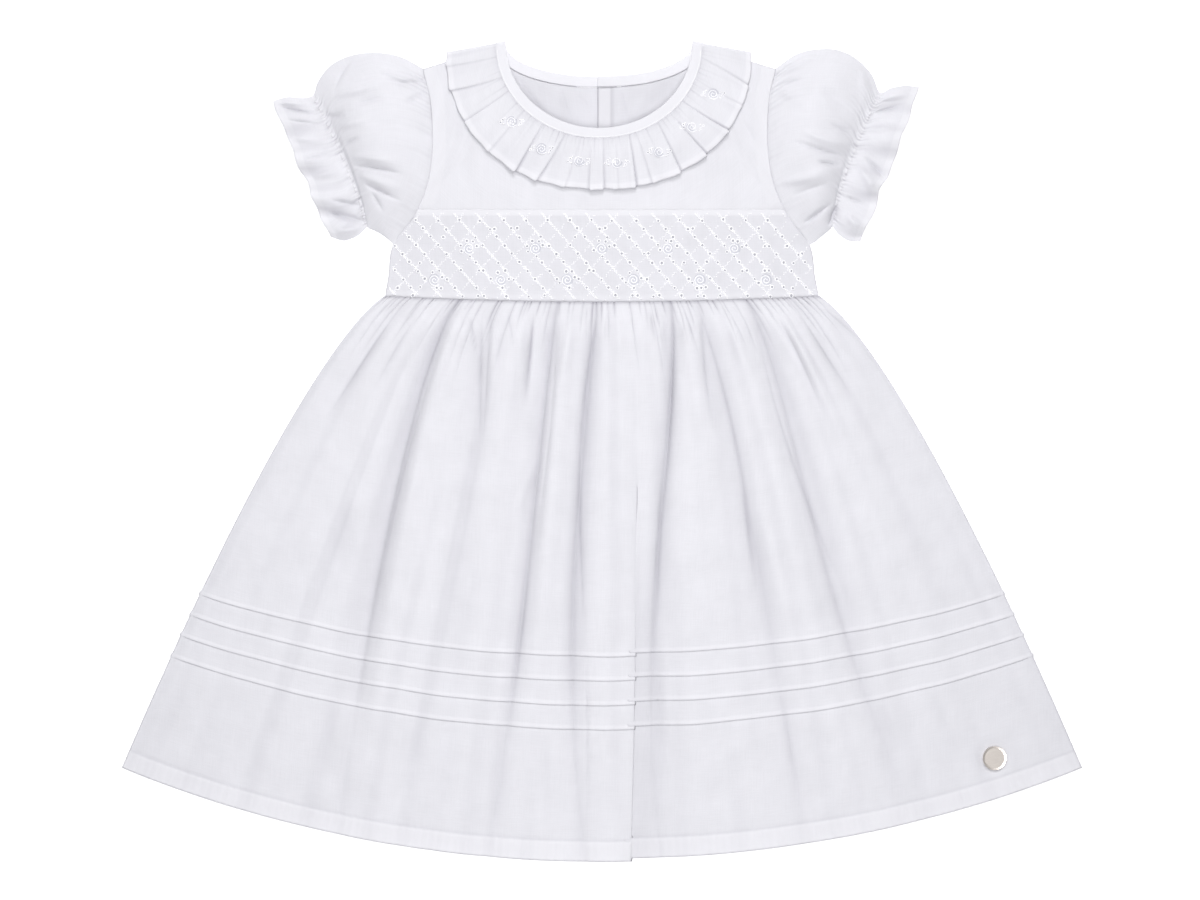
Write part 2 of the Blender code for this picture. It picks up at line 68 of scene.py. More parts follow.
# Each crease in millimetres: where it starts and ends, its bend, its height, which is below zero for a
# trough, and its half width
YOKE_CREASES = (
    (-88.2, 227.4, -91.8, 162.6, 0, 0.5, 4),
    (-83.4, 222.6, -84, 180.6, 0, -0.4, 4),
    (84, 199.8, 96, 179.4, 0, -0.5, 2.5),
    (88.8, 222.6, 93, 165.6, 0, 0.5, 4),
    (-79.2, 180.6, -43.2, 156.6, 0, -0.25, 8),
    (52.8, 162.6, 94.8, 180.6, 0, -0.25, 8),
)


def mix(start, end, share):
    return start + (end - start) * share


def ease(share):
    share = np.clip(share, 0.0, 1.0)
    return share * share * (3 - 2 * share)


def smooth_curve(xs, ys, at):
    """A smooth curve through points whose first column rises."""
    xs, ys = np.asarray(xs, float), np.asarray(ys, float)
    slopes = np.gradient(ys, xs)
    number = np.clip(np.searchsorted(xs, at) - 1, 0, len(xs) - 2)
    span = xs[number + 1] - xs[number]
    share = np.clip((at - xs[number]) / span, 0.0, 1.0)
    rest = 1 - share
    start = ys[number] * (1 + 2 * share) * rest ** 2 + slopes[number] * span * share * rest ** 2
    end = ys[number + 1] * (3 - 2 * share) * share ** 2 - slopes[number + 1] * span * rest * share ** 2
    return start + end


def lean(y):
    return NECK[0] * (y - WAIST) / (NECK[1] - WAIST)


def half_width(y):
    return smooth_curve(SIDE_Y, SIDE_HALF, y)


def waist_line(across):
    return WAIST + WAIST_DIP * across ** 2


def shoulder_line(x):
    return NECK[1] - 0.30 * np.maximum(np.abs(x - NECK[0]) - NECK_HALF, 0.0)


def neck_point(angle, width, drop):
    """A point a width outside the neck's edge; the angle runs from pi at the left shoulder to two pi."""
    x = NECK[0] + (NECK_HALF + width) * np.cos(angle)
    y = NECK[1] + (drop + width) * np.sin(angle) - NECK_SLOPE * width * np.abs(np.cos(angle))
    return x, y


def over_ruffle(x, y, inner, outer):
    """One where the back of the neck ruffle lies under the body."""
    reach = BINDING_WIDTH + RUFFLE_WIDTH
    far = np.hypot((x - NECK[0]) / (NECK_HALF + reach), (y - NECK[1]) / (NECK_BACK_DROP + reach))
    return ease((outer - far) / (outer - inner))


def front_height(x, y):
    """How high the inner side of the bodice front lies over the surface."""
    out = np.minimum(np.abs(x - lean(y)) / half_width(y), 1.0) ** 4
    armhole = np.sin(np.pi * np.clip((ARMHOLE_TOP - y) / (ARMHOLE_TOP - UNDERARM), 0.0, 1.0))
    loft = mix(AIR, ARMHOLE_LIFT * armhole, out) * ease((shoulder_line(x) - y) / 0.030)
    return LAYER + LAYER * over_ruffle(x, y, *RUFFLE_BELOW_FRONT) + loft


def creases(x, y, table, depth=1.0):
    """The height that soft creases add, each along its own bent line and wider towards its end, and the
    shade of the troughs, which is longer on the side away from the neck."""
    height, shade = np.zeros_like(x), np.zeros_like(x)
    for row in table:
        from_x, from_y, to_x, to_y, bend, high, wide = (value / 1000 for value in row)
        length = math.hypot(to_x - from_x, to_y - from_y)
        unit = ((to_x - from_x) / length, (to_y - from_y) / length)
        along = ((x - from_x) * unit[0] + (y - from_y) * unit[1]) / length
        inside = np.clip(along, 0.0, 1.0)
        off = (x - from_x) * unit[1] - (y - from_y) * unit[0] - bend * 4 * inside * (1 - inside)
        off = off / (wide * (0.55 + 0.75 * inside))
        fade = np.sin(math.pi * inside ** 0.8) ** 1.4
        if high > 0 or wide > 0.004:
            height += depth * high * fade * np.exp(-off ** 2)
            shade += 0.4 * SHADE_GAIN * depth * max(-high, 0.0) * fade * np.exp(-off ** 2)
            continue
        height += depth * high * fade * np.exp(-np.abs(off) / 0.65)
        away = (from_x + to_x) / 2 * unit[1] - ((from_y + to_y) / 2 - NECK[1] - 0.05) * unit[0]
        outer = np.where(off * math.copysign(1.0, away) > 0, 1.1, 0.28)
        shade += SHADE_GAIN * depth * -high * fade * np.exp(-np.abs(off) / outer)
    return height, shade


def hollows(height, reach, deep):
    """How far each place lies below its neighbours along the rows, as a share of a depth."""
    beside = np.pad(height, ((0, 0), (reach + 1, reach)), mode="edge")
    total = np.cumsum(beside, axis=1)
    mean = (total[:, 2 * reach + 1:] - total[:, :-2 * reach - 1]) / (2 * reach + 1)
    return np.clip((mean - height) / deep, 0.0, 1.0)


def soft_wave(x, y, size, seed):
    """Slow uneven waves from minus one to one, of about that size."""
    random = np.random.default_rng(seed)
    total = np.zeros_like(x)
    for _ in range(7):
        turn = random.uniform(0, 2 * math.pi)
        pitch = 2 * math.pi / (size * random.uniform(0.7, 1.8))
        total += np.sin((x * math.cos(turn) + y * math.sin(turn)) * pitch + random.uniform(0, 6.3))
    return total / 7


def lay_out(points):
    """The cut of a sheet in metres, measured along its rows and columns."""
    across = np.linalg.norm(np.diff(points, axis=1), axis=2)
    down = np.linalg.norm(np.diff(points, axis=0), axis=2)
    u = np.concatenate([np.zeros((points.shape[0], 1)), np.cumsum(across, axis=1)], axis=1)
    v = np.concatenate([np.zeros((1, points.shape[1])), np.cumsum(down, axis=0)], axis=0)
    return np.stack([u - u.mean(axis=1, keepdims=True), -v], axis=-1)


def cloth_sheet(name, points, double, shade, thick=LAWN, finish=None, cut=None, closed=False):
    """A sheet of cloth from rows of points, with its cut as a UV map. It keeps how double the cloth lies and
    how shaded it is at each point."""
    down, across = points.shape[:2]
    corner = np.arange(down * across).reshape(down, across)
    after = np.roll(corner, -1, axis=1) if closed else corner[:, 1:]
    before = corner if closed else corner[:, :-1]
    faces = np.stack([before[:-1], before[1:], after[1:], after[:-1]], axis=-1).reshape(-1, 4)
    mesh = bpy.data.meshes.new(name)
    mesh.vertices.add(down * across)
    mesh.vertices.foreach_set("co", points.reshape(-1).astype(np.float32))
    mesh.loops.add(faces.size)
    mesh.loops.foreach_set("vertex_index", faces.reshape(-1).astype(np.int32))
    mesh.polygons.add(len(faces))
    mesh.polygons.foreach_set("loop_start", np.arange(0, faces.size, 4, dtype=np.int32))
    mesh.update()
    cut = (lay_out(points) if cut is None else cut).reshape(-1, 2)
    laid = mesh.uv_layers.new(name="cut")
    laid.data.foreach_set("uv", cut[faces.reshape(-1)].reshape(-1).astype(np.float32))
    for label, values in (("double", double), ("shade", shade)):
        values = np.broadcast_to(np.clip(values, 0, 1), (down, across))
        mask = mesh.attributes.new(label, "FLOAT", "POINT")
        mask.data.foreach_set("value", values.reshape(-1).astype(np.float32))
    mesh.shade_smooth()
    mesh.materials.append(finish or lawn)
    piece = bpy.data.objects.new(name, mesh)
    bpy.context.scene.collection.objects.link(piece)
    wall = piece.modifiers.new("thickness", "SOLIDIFY")
    wall.thickness = thick
    wall.offset = 1.0
    wall.use_quality_normals = True
    return piece


class Signal:
    """A shader socket that takes part in arithmetic."""

    def __init__(self, finish, socket):
        self.finish = finish
        self.socket = socket

    def maths(self, operation, first, second=0.0):
        return self.finish.add("ShaderNodeMath", {"operation": operation}, {0: first, 1: second})

    def __add__(self, other):
        return self.maths("ADD", self, other)

    __radd__ = __add__

    def __sub__(self, other):
        return self.maths("SUBTRACT", self, other)

    def __rsub__(self, other):
        return self.maths("SUBTRACT", other, self)

    def __mul__(self, other):
        return self.maths("MULTIPLY", self, other)

    __rmul__ = __mul__

    def sine(self):
        return self.maths("SINE", self)


class Finish:
    """A material, with one method that adds any node to it."""

    def __init__(self, name):
        self.material = bpy.data.materials.new(name)
        self.material.use_nodes = True
        self.tree = self.material.node_tree
        self.tree.nodes.clear()

    def add(self, kind, settings, sockets, out=0):
        node = self.tree.nodes.new(kind)
        for label, value in settings.items():
            setattr(node, label, value)
        for label, value in sockets.items():
            if isinstance(value, Signal):
                self.tree.links.new(value.socket, node.inputs[label])
            else:
                node.inputs[label].default_value = value
        return Signal(self, node.outputs[out])

    def noise(self, **inputs):
        return self.add("ShaderNodeTexNoise", {}, inputs, "Fac")

    def stretched(self, place, scale):
        return self.add("ShaderNodeMapping", {}, {"Vector": place, "Scale": scale})

    def stored(self, label):
        return self.add("ShaderNodeAttribute", {"attribute_name": label}, {}, "Fac")

    def blend(self, share, first, second):
        """A colour between two colours, the second where the share is one."""
        first, second = (tone if isinstance(tone, Signal) else (*tone, 1.0) for tone in (first, second))
        return self.add("ShaderNodeMix", {"data_type": "RGBA"}, {0: share, 6: first, 7: second}, 2)

    def relief(self, height, strength, distance):
        return self.add("ShaderNodeBump", {}, {"Strength": strength, "Distance": distance, "Height": height})

    def principled(self, colour, rough, inputs):
        return self.add("ShaderNodeBsdfPrincipled", {}, {"Base Color": colour, "Roughness": rough, **inputs})

    def surface(self, shader):
        output = self.tree.nodes.new("ShaderNodeOutputMaterial")
        self.tree.links.new(shader.socket, output.inputs["Surface"])
        return self.material


THREAD_PITCH = 0.00052
WEFT_SLUBS = (90, 1700, 1)
WARP_SLUBS = (1700, 60, 1)
CLOUDS = (60, 60, 1)
LAWN_WHITE = (0.815, 0.810, 0.850)
DOUBLE_WHITE = (0.860, 0.853, 0.888)
# How dark the painted shade in troughs, hollows, gathers and seams makes the cloth, channel by channel
PAINTED_SHADE_SHARE = (0.44, 0.43, 0.47)
SEEN_THROUGH = 0.16


def woven_cotton(name, base):
    """White lawn: a fine plain weave with thicker slub threads, whiter where it lies double, and pulled
    towards a painted shade tone where its stored shade mask is set.
    """
    finish = Finish(name)
    cut = finish.add("ShaderNodeUVMap", {"uv_map": "cut"}, {}, "UV")
    weft, warp, cloud = (
        finish.noise(Vector=finish.stretched(cut, scale), Scale=1.0, Detail=detail)
        for scale, detail in ((WEFT_SLUBS, 3.0), (WARP_SLUBS, 3.0), (CLOUDS, 4.0)))
    along, down = (finish.add("ShaderNodeSeparateXYZ", {}, {0: cut}, axis) for axis in ("X", "Y"))
    thread = 2 * math.pi / THREAD_PITCH
    weave = (along * thread).sine() * (down * thread).sine()
    mottle = (weft + warp - 1.0) * 0.22 + (cloud - 0.5) * 0.26
    pale = finish.add("ShaderNodeMapRange", {}, {"Value": mottle, 1: -0.2, 2: 0.2, 3: 0.0, 4: 1.0})
    darker = [channel * 0.90 for channel in base]
    lighter = [min(channel * 1.07, 0.97) for channel in base]
    # Painted shade: the stored shade mask pulls the colour towards this darker tone
    deep = [channel * share for channel, share in zip(base, PAINTED_SHADE_SHARE)]
    colour = finish.blend(pale, darker, lighter)
    colour = finish.blend(finish.stored("double"), colour, DOUBLE_WHITE)
    colour = finish.blend(finish.stored("shade"), colour, deep)
    normal = finish.relief(weave * 0.25 + weft + warp, 0.35, 0.00012)
    cotton = finish.principled(colour, 0.88, {
        "Specular IOR Level": 0.25, "Sheen Weight": 0.12, "Sheen Roughness": 0.5, "Normal": normal})
    through = finish.add("ShaderNodeBsdfTranslucent", {}, {"Color": (0.93, 0.93, 0.95, 1.0)})
    return finish.surface(finish.add("ShaderNodeMixShader", {}, {0: SEEN_THROUGH, 1: cotton, 2: through}))


lawn = woven_cotton("white lawn", LAWN_WHITE)

rim_steps, line_steps, yoke_rows = 64, 120, 58
fall = np.linspace(ARMHOLE_TOP, YOKE_LINE - LAP, rim_steps)
left_rim = np.stack([lean(fall) - half_width(fall), fall], axis=-1)
right_rim = np.stack([lean(fall) + half_width(fall), fall], axis=-1)[::-1]
seam_x = np.linspace(left_rim[-1, 0], right_rim[0, 0], line_steps + 1)[1:-1]
seam_rim = np.stack([seam_x, np.full_like(seam_x, fall[-1])], axis=-1)
rim = np.concatenate([left_rim, seam_rim, right_rim])
turn = np.arctan2(rim[:, 1] - NECK[1], rim[:, 0] - NECK[0]) % (2 * math.pi)
angle = math.pi * (1 + (turn - turn[0]) / (turn[-1] - turn[0]))
inner = np.stack(neck_point(angle, BINDING_WIDTH + SEAM, NECK_FRONT_DROP), axis=-1)
share = np.linspace(0, 1, yoke_rows)[:, None, None]
place = mix(inner[None], rim[None], share)
x, y = place[..., 0], place[..., 1]
lift, shade = creases(x, y, YOKE_CREASES)
height = front_height(x, y) + lift + 0.00025 * soft_wave(x, y, 0.035, 3)
from_side = half_width(y) - np.abs(x - lean(y))
allowance = ease((ALLOWANCE - from_side) / 0.0008) * ease((y - YOKE_LINE) / 0.004)
height += 0.00022 * allowance - 0.0002 * np.exp(-from_side / 0.0012)
height -= 0.0006 * ease((YOKE_LINE + 0.0002 - y) / 0.0008)
points = np.stack([x, y, height], axis=-1)
near_line = ease((YOKE_LINE + 0.0015 - y) / 0.001)
yoke = cloth_sheet("yoke", points, 0.35 * allowance + 0.3 * near_line, shade)
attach(yoke, "root")
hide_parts("front_yoke")

# ------------------------------------------------------------------ embroidered band
# The chest band below the yoke, in the same lawn, machine embroidered in white: slanting lines of small
# stitches and punched eyelets cross to make diamonds, with a little rose at some of the crossings.
TRELLIS = 0.0132
TRELLIS_SLOPE = math.radians(48)
EYELET_STEP = 0.0068
EYELET_RADIUS = 0.00125
STITCH_STEP = 0.00085
STITCH_SWAY = 0.00034
ROSE_SPACING = 0.0398
ROSE_STEP = 0.00085
ROSE_ROWS = ((0.1215, -0.1196), (0.1026, -0.1005))
BAND_LONG = 0.055
BAND_MIDDLE = 0.117
BAND_WHITE = (0.770, 0.765, 0.805)
BAND_STITCH_SIZE = np.array([0.00072, 0.00041, 0.00062])
band_rows, band_columns = 54, 260


def band_place(across, down):
    """A point of the band's inner side, across from -1 to 1 and down from 0 to 1."""
    y = mix(YOKE_LINE - SEAM / 2, waist_line(across) + SEAM / 2, down)
    x = lean(y) + across * half_width(y)
    return x, y


def band_height(x, y):
    puckers = 0.00012 * soft_wave(x, y, 0.006, 11) + 0.00020 * soft_wave(x, y, 0.018, 12)
    return front_height(x, y) + puckers


across, down = np.meshgrid(np.linspace(-1, 1, band_columns), np.linspace(0, 1, band_rows))
x, y = band_place(across, down)
height = band_height(x, y)
from_top, from_waist = down * BAND_LONG, (1 - down) * BAND_LONG
height -= 0.0001 * np.exp(-from_top / 0.0006) + 0.0004 * np.exp(-from_waist / 0.0009)
near_top = ease((0.0042 - from_top) / 0.0006)
near_waist = ease((0.0060 - from_waist) / 0.003)
points = np.stack([x, y, height], axis=-1)
double = np.maximum(0.7 * near_top, 0.4 * near_waist)
band = cloth_sheet("chest_band", points, double, 0.0, finish=woven_cotton("embroidered lawn", BAND_WHITE))
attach(band, "root")
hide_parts("embroidered_band")


def round_bead(sides, rings):
    """A unit half bead: points and faces of a low dome that stands on z = 0."""
    corners = [(0.0, 0.0, 1.0)]
    for ring in range(1, rings + 1):
        tilt = math.pi / 2 * ring / rings
        for turned in (2 * math.pi * side / sides for side in range(sides)):
            far = math.sin(tilt)
            corners.append((far * math.cos(turned), far * math.sin(turned), math.cos(tilt)))
    faces = [(0, 1 + side, 1 + (side + 1) % sides) for side in range(sides)]
    for ring in range(rings - 1):
        first = 1 + ring * sides
        for side in range(sides):
            after = (side + 1) % sides
            faces.append((first + side, first + sides + side, first + sides + after))
            faces.append((first + side, first + sides + after, first + after))
    return np.array(corners), np.array(faces)


def ring_of(sides, tube_sides, thick):
    """A unit ring of round section."""
    corners, faces = [], []
    for side in range(sides):
        turned = 2 * math.pi * side / sides
        for step in range(tube_sides):
            tilt = 2 * math.pi * step / tube_sides
            radius = 1 + thick * math.cos(tilt)
            corners.append((radius * math.cos(turned), radius * math.sin(turned), thick * math.sin(tilt)))
    for side in range(sides):
        for step in range(tube_sides):
            a = side * tube_sides + step
            b = side * tube_sides + (step + 1) % tube_sides
            c = (side + 1) % sides * tube_sides + (step + 1) % tube_sides
            d = (side + 1) % sides * tube_sides + step
            faces += [(a, d, c), (a, c, b)]
    return np.array(corners), np.array(faces)


def scatter(name, shape, places, turns, sizes, finish):
    """A mesh of many copies of a small shape, with sizes along, across and up for each or for all."""
    corners, faces = shape
    turns = np.broadcast_to(turns, len(places))
    sizes = np.broadcast_to(sizes, (len(places), 3))
    cosine, sine = np.cos(turns)[:, None], np.sin(turns)[:, None]
    sized = corners[None] * sizes[:, None, :]
    x = sized[..., 0] * cosine - sized[..., 1] * sine + places[:, None, 0]
    y = sized[..., 0] * sine + sized[..., 1] * cosine + places[:, None, 1]
    z = sized[..., 2] + places[:, None, 2]
    points = np.stack([x, y, z], axis=-1).reshape(-1, 3)
    every = faces[None] + (np.arange(len(places)) * len(corners))[:, None, None]
    mesh = bpy.data.meshes.new(name)
    mesh.from_pydata(points.tolist(), [], every.reshape(-1, 3).tolist())
    mesh.shade_smooth()
    mesh.materials.append(finish)
    piece = bpy.data.objects.new(name, mesh)
    bpy.context.scene.collection.objects.link(piece)
    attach(piece, "root")
    return piece


def plain_finish(name, scale, rough, first, second, **noise):
    """A finish in two tones mottled by noise."""
    finish = Finish(name)
    tone = finish.blend(finish.noise(Scale=scale, **noise), first, second)
    return finish.surface(finish.principled(tone, rough, {}))


# Twisted embroidery cotton, whiter than the cloth, with the fine relief of its plies
THREAD_WHITE = (0.96, 0.957, 0.97)
cotton = Finish("embroidery cotton")
plies = cotton.noise(Vector=cotton.add("ShaderNodeTexCoord", {}, {}, "Object"), Scale=2600.0, Detail=2.0)
thread_tone = cotton.blend(plies, [channel * 0.95 for channel in THREAD_WHITE], THREAD_WHITE)
thread = cotton.surface(cotton.principled(thread_tone, 0.6, {
    "Normal": cotton.relief(plies, 0.4, 0.0001), "Sheen Weight": 0.1}))
# Dark grey discs set into the eyelets: painted shade seen down each hole
eyelet_shade_finish = plain_finish("painted eyelet shade", 900.0, 1.0, (0.30, 0.30, 0.34), (0.46, 0.46, 0.50))
# Grey discs under the roses: painted shade between their stitches
rose_shade_finish = plain_finish("painted rose shade", 1500.0, 1.0, (0.48, 0.48, 0.53), (0.64, 0.64, 0.69))
random = np.random.default_rng(5)


def on_band(x, y):
    """True inside the band, a seam's width from its edges."""
    inside_x = np.abs(x - lean(y)) < half_width(y) - 0.0014
    return inside_x & (y < YOKE_LINE - 0.0026) & (y > waist_line(x / WAIST_HALF) + 0.0016)


stitches, eyelets, roses = [], [], []
for slant, weight in ((-1, 1.0), (1, 0.78)):
    for line in range(-18, 19):
        for number, run in enumerate(np.arange(-0.075, 0.075, STITCH_STEP)):
            side = STITCH_SWAY * (1 if number % 2 else -1) + random.uniform(-0.0001, 0.0001)
            px = line * TRELLIS + run * math.cos(TRELLIS_SLOPE) + side * math.sin(TRELLIS_SLOPE)
            py = BAND_MIDDLE + slant * (run * math.sin(TRELLIS_SLOPE) - side * math.cos(TRELLIS_SLOPE))
            if on_band(px, py) and random.random() < (0.97 if slant < 0 else 0.6):
                stitches.append((px, py, slant * TRELLIS_SLOPE + random.uniform(-0.7, 0.7), weight))
        for step in range(-12, 13):
            run = (step + 0.25 * slant) * EYELET_STEP + random.uniform(-0.0006, 0.0006)
            px = line * TRELLIS + run * math.cos(TRELLIS_SLOPE)
            py = BAND_MIDDLE + slant * run * math.sin(TRELLIS_SLOPE)
            if on_band(px, py) and random.random() < (0.85 if slant < 0 else 0.30):
                eyelets.append((px, py))
for row, start in ROSE_ROWS:
    along_row = [start + ROSE_SPACING * number for number in range(7)]
    roses += [(at, row) for at in along_row if abs(at) < 0.112]


def spiral_rose(centre, size, turns, sprigs):
    """Stitches of a small rose, as a coil that opens outwards, with leaf stitches to either side."""
    beads = []
    wind, far = 0.6, turns * 2 * math.pi
    while wind < far:
        radius = size * (0.12 + 0.88 * wind / far)
        place = centre[0] + radius * math.cos(wind), centre[1] + radius * math.sin(wind)
        beads.append((*place, wind + math.pi / 2, 1.0))
        wind += ROSE_STEP / radius
    for side, tilt, reach in sprigs:
        place = centre[0] + side * size * reach * math.cos(tilt), centre[1] + size * reach * math.sin(tilt)
        beads.append((*place, tilt, 1.2))
    return beads


for centre in roses:
    stitches = [bead for bead in stitches if math.dist(bead[:2], centre) > 0.0046]
    eyelets = [hole for hole in eyelets if math.dist(hole, centre) > 0.0050]
    stitches += spiral_rose(centre, 0.0036, 1.9, ())
    eyelets += [(centre[0] + 0.0048 * math.cos(tilt), centre[1] + 0.0048 * math.sin(tilt))
                for tilt in random.uniform(-0.2, 0.2, 5) + (0.3, 1.1, 1.9, 3.4, 4.9)]
kept = []
for hole in eyelets:
    if all(math.dist(hole, other) > 0.0023 for other in kept):
        kept.append(hole)
eyelets = np.array(kept)
stitches = np.array([bead for bead in stitches if min(np.hypot(*(eyelets - bead[:2]).T)) > 0.0013])
bead, patch, dot = round_bead(6, 2), round_bead(16, 2), round_bead(10, 1)
eyelet_ring = ring_of(10, 5, 0.36)


def on_band_cloth(x, y, above):
    return np.column_stack([x, y, band_height(x, y) + LAWN + above])


x, y, turns, weights = stitches.T
places = on_band_cloth(x, y, -0.00005)
trellis = scatter("band_stitching", bead, places, turns, BAND_STITCH_SIZE * weights[:, None], thread)
places = on_band_cloth(*eyelets.T, 0.00008)
spread = random.uniform(0.85, 1.15, len(eyelets))[:, None]
rings = scatter("eyelet_rings", eyelet_ring, places, 0.0, EYELET_RADIUS * 0.82 * spread, thread)
# Thin grey discs under the band's roses: painted shade between the stitches
rose_shade_places = on_band_cloth(*np.array(roses).T, 0.0)
band_rose_shades = scatter("band_rose_shade_discs", patch, rose_shade_places, 0.0, (0.0037, 0.0037, 0.00012), rose_shade_finish)
hole_size = np.array([EYELET_RADIUS * 0.52, EYELET_RADIUS * 0.52, 0.00006]) * spread
# Dark discs just under each eyelet ring: painted shade in the holes
holes = scatter("eyelet_hole_shades", dot, places - (0, 0, 0.00006), 0.0, hole_size, eyelet_shade_finish)

# ------------------------------------------------------------------ back bodice
# Two plain halves, lapped at the centre back with a folded button strip on each edge. The right half's edge
# shows as an upright line inside the neck; the frill of the neck lies between them and the surface.
PLACKET_LEFT = 0.0083
PLACKET_RIGHT = -0.0027
PLACKET_RAMP = 0.0120
PLACKET_STRIP = 0.0088
STITCH_LINE = 0.0006
RUFFLE_BELOW_BACK = (1.12, 1.34)
BACK_CREASES = (
    (-52.2, 227.4, -27.6, 193.8, 0, -1, 4),
    (-43.2, 228.6, -10.2, 198.6, 0, 0.7, 5),
    (-25.2, 220.2, -16.2, 193.8, 0, -0.6, 3),
    (10.8, 220.2, 18, 193.8, 0, -0.6, 3),
    (22.8, 204.6, 49.8, 227.4, 0, -0.9, 5),
    (15.6, 196.2, 39.6, 220.2, 0, 0.6, 5),
    (-16.2, 216.6, -3.6, 203.4, 0, -0.5, 3),
)


def back_height(hand, x, y):
    above_waist = ease((y - WAIST - WAIST_DIP) / PLACKET_RAMP)
    near_buttons = ease((PLACKET_LEFT + PLACKET_RAMP - np.abs(x)) / PLACKET_RAMP) * above_waist
    raised = LAYER * np.maximum(over_ruffle(x, y, *RUFFLE_BELOW_BACK), near_buttons)
    if hand > 0:
        raised = raised + LAYER * ease((PLACKET_LEFT + SEAM + PLACKET_RAMP - x) / PLACKET_RAMP)
    return raised


def back_half(hand, name, node, edge):
    """One back half, between its armhole and side seam and its edge of the opening."""
    width = BINDING_WIDTH + SEAM
    start = 2 * math.pi if hand > 0 else math.pi
    last = 2 * math.pi - math.acos((edge - NECK[0]) / (NECK_HALF + width))
    neck = np.stack(neck_point(np.linspace(start, last, 84), width, NECK_BACK_DROP), axis=-1)
    outer = np.array([lean(ARMHOLE_TOP) + hand * half_width(ARMHOLE_TOP), ARMHOLE_TOP])
    shoulder = mix(outer, neck[0], np.linspace(0, 1, 26, endpoint=False)[:, None])
    top = np.concatenate([shoulder, neck])
    reach = np.concatenate([[0.0], np.cumsum(np.linalg.norm(np.diff(top, axis=0), axis=1))])
    inwards = (reach / reach[-1])[None]
    share = np.linspace(0, 1, 96)[:, None]
    low = waist_line(1.0)
    side_y = mix(ARMHOLE_TOP, low, share)
    foot_side = lean(low) + hand * half_width(low)
    bulge = lean(side_y) + hand * half_width(side_y) - mix(outer[0], foot_side, share)
    foot_x = mix(foot_side, edge, inwards)
    foot_y = waist_line(foot_x / WAIST_HALF) + SEAM / 2
    x = mix(top[None, :, 0], foot_x, share) + bulge * (1 - inwards) ** 1.5
    y = mix(top[None, :, 1], foot_y, share)
    strip = ease((PLACKET_STRIP - np.abs(x - edge)) / 0.0005)
    lift, shade = creases(x, y, BACK_CREASES)
    lift += 0.0003 * soft_wave(x, y, 0.022, 20 + hand)
    calm = ease((0.002 + x * hand) / 0.012) * ease((0.240 - y) / 0.01) * ease((y - 0.10) / 0.02)
    stitched = np.exp(-((np.abs(x - edge) - PLACKET_STRIP) / STITCH_LINE) ** 2)
    folded = np.exp(-(np.abs(x - edge) / STITCH_LINE) ** 2)
    height = back_height(hand, x, y) + 0.00012 * strip + (lift + 0.0008) * calm - 0.0002 * stitched
    # Painted shade: an even tone over the whole half, and lines along the folded edge and the strip's stitch
    # line
    shade += 0.15 + 0.55 * (stitched + folded)
    points = np.stack([x, y, height], axis=-1)
    if hand > 0:
        points, strip, shade = points[:, ::-1], strip[:, ::-1], shade[:, ::-1]
    piece = cloth_sheet(name, points, 0.8 * strip, shade)
    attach(piece, "root")
    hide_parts(node)
    return piece


back_left = back_half(-1, "back_left_half", "back_bodice_left", PLACKET_LEFT)
back_right = back_half(1, "back_right_half", "back_bodice_right", PLACKET_RIGHT)

# ------------------------------------------------------------------ back buttons
# Four small pearly buttons down the back opening, sewn through four holes. They lie face down under the
# left half, and the solids already have their turned shape, so only their finish is added here.
def dress_node(node, finish):
    """Gives a solid its finish."""
    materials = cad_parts[node].data.materials
    materials.clear()
    materials.append(finish)


pearl = plain_finish("pearl button", 260.0, 0.22, (0.80, 0.78, 0.76), (0.93, 0.92, 0.90),
                     Detail=3.0, Distortion=1.5)
for number in range(1, 5):
    dress_node(f"back_button_{number}", pearl)

# ------------------------------------------------------------------ neck binding
# A bias strip folded over the neck edge and stitched down along its outer side. It turns under at each
# shoulder and its two ends lap at the centre back.
BINDING_THICK = 0.0023
BINDING_STEPS = 420
SHOULDER_STEPS = 14


def neck_strip(widths, back_face, rise, thick, gap_left, gap_right, steps):
    """Rows of points of a strip round the neck, under the back, over each shoulder and across the front, and
    which columns are the front's."""
    first = 2 * math.pi - math.acos((gap_left - NECK[0]) / NECK_HALF)
    last = 2 * math.pi - math.acos((gap_right - NECK[0]) / NECK_HALF)
    widths = widths[:, None]

    def shoulder(end, sweep):
        """The rounded fold over one shoulder."""
        x, y = neck_point(end, widths, NECK_BACK_DROP)
        top = front_height(x, y) + rise
        bulge = (top - back_face) / 2 * np.sin(sweep)[None]
        height = mix(back_face, top, 0.5 - 0.5 * np.cos(sweep)[None])
        return np.stack([x + 0 * bulge, y + bulge, height], axis=-1)

    sweep = np.linspace(0, math.pi, SHOULDER_STEPS)
    x, y = neck_point(np.linspace(first, math.pi, steps // 3, endpoint=False)[None], widths, NECK_BACK_DROP)
    left_back = np.stack([x, y, np.full_like(x, back_face)], axis=-1)
    x, y = neck_point(np.linspace(math.pi, 2 * math.pi, steps)[None, 1:-1], widths, NECK_FRONT_DROP)
    front = np.stack([x, y, front_height(x, y) + rise], axis=-1)
    x, y = neck_point(np.linspace(2 * math.pi, last, steps // 3 + 1)[None, 1:], widths, NECK_BACK_DROP)
    lap = ease((PLACKET_LEFT + SEAM + PLACKET_RAMP - x) / PLACKET_RAMP) if gap_right < gap_left else 0.0 * x
    right_back = np.stack([x, y, back_face + lap * (thick + SEAM)], axis=-1)
    stretches = [left_back, shoulder(math.pi, sweep), front, shoulder(2 * math.pi, sweep[::-1]), right_back]
    start = left_back.shape[1] + SHOULDER_STEPS
    return np.concatenate(stretches, axis=1), slice(start, start + front.shape[1])


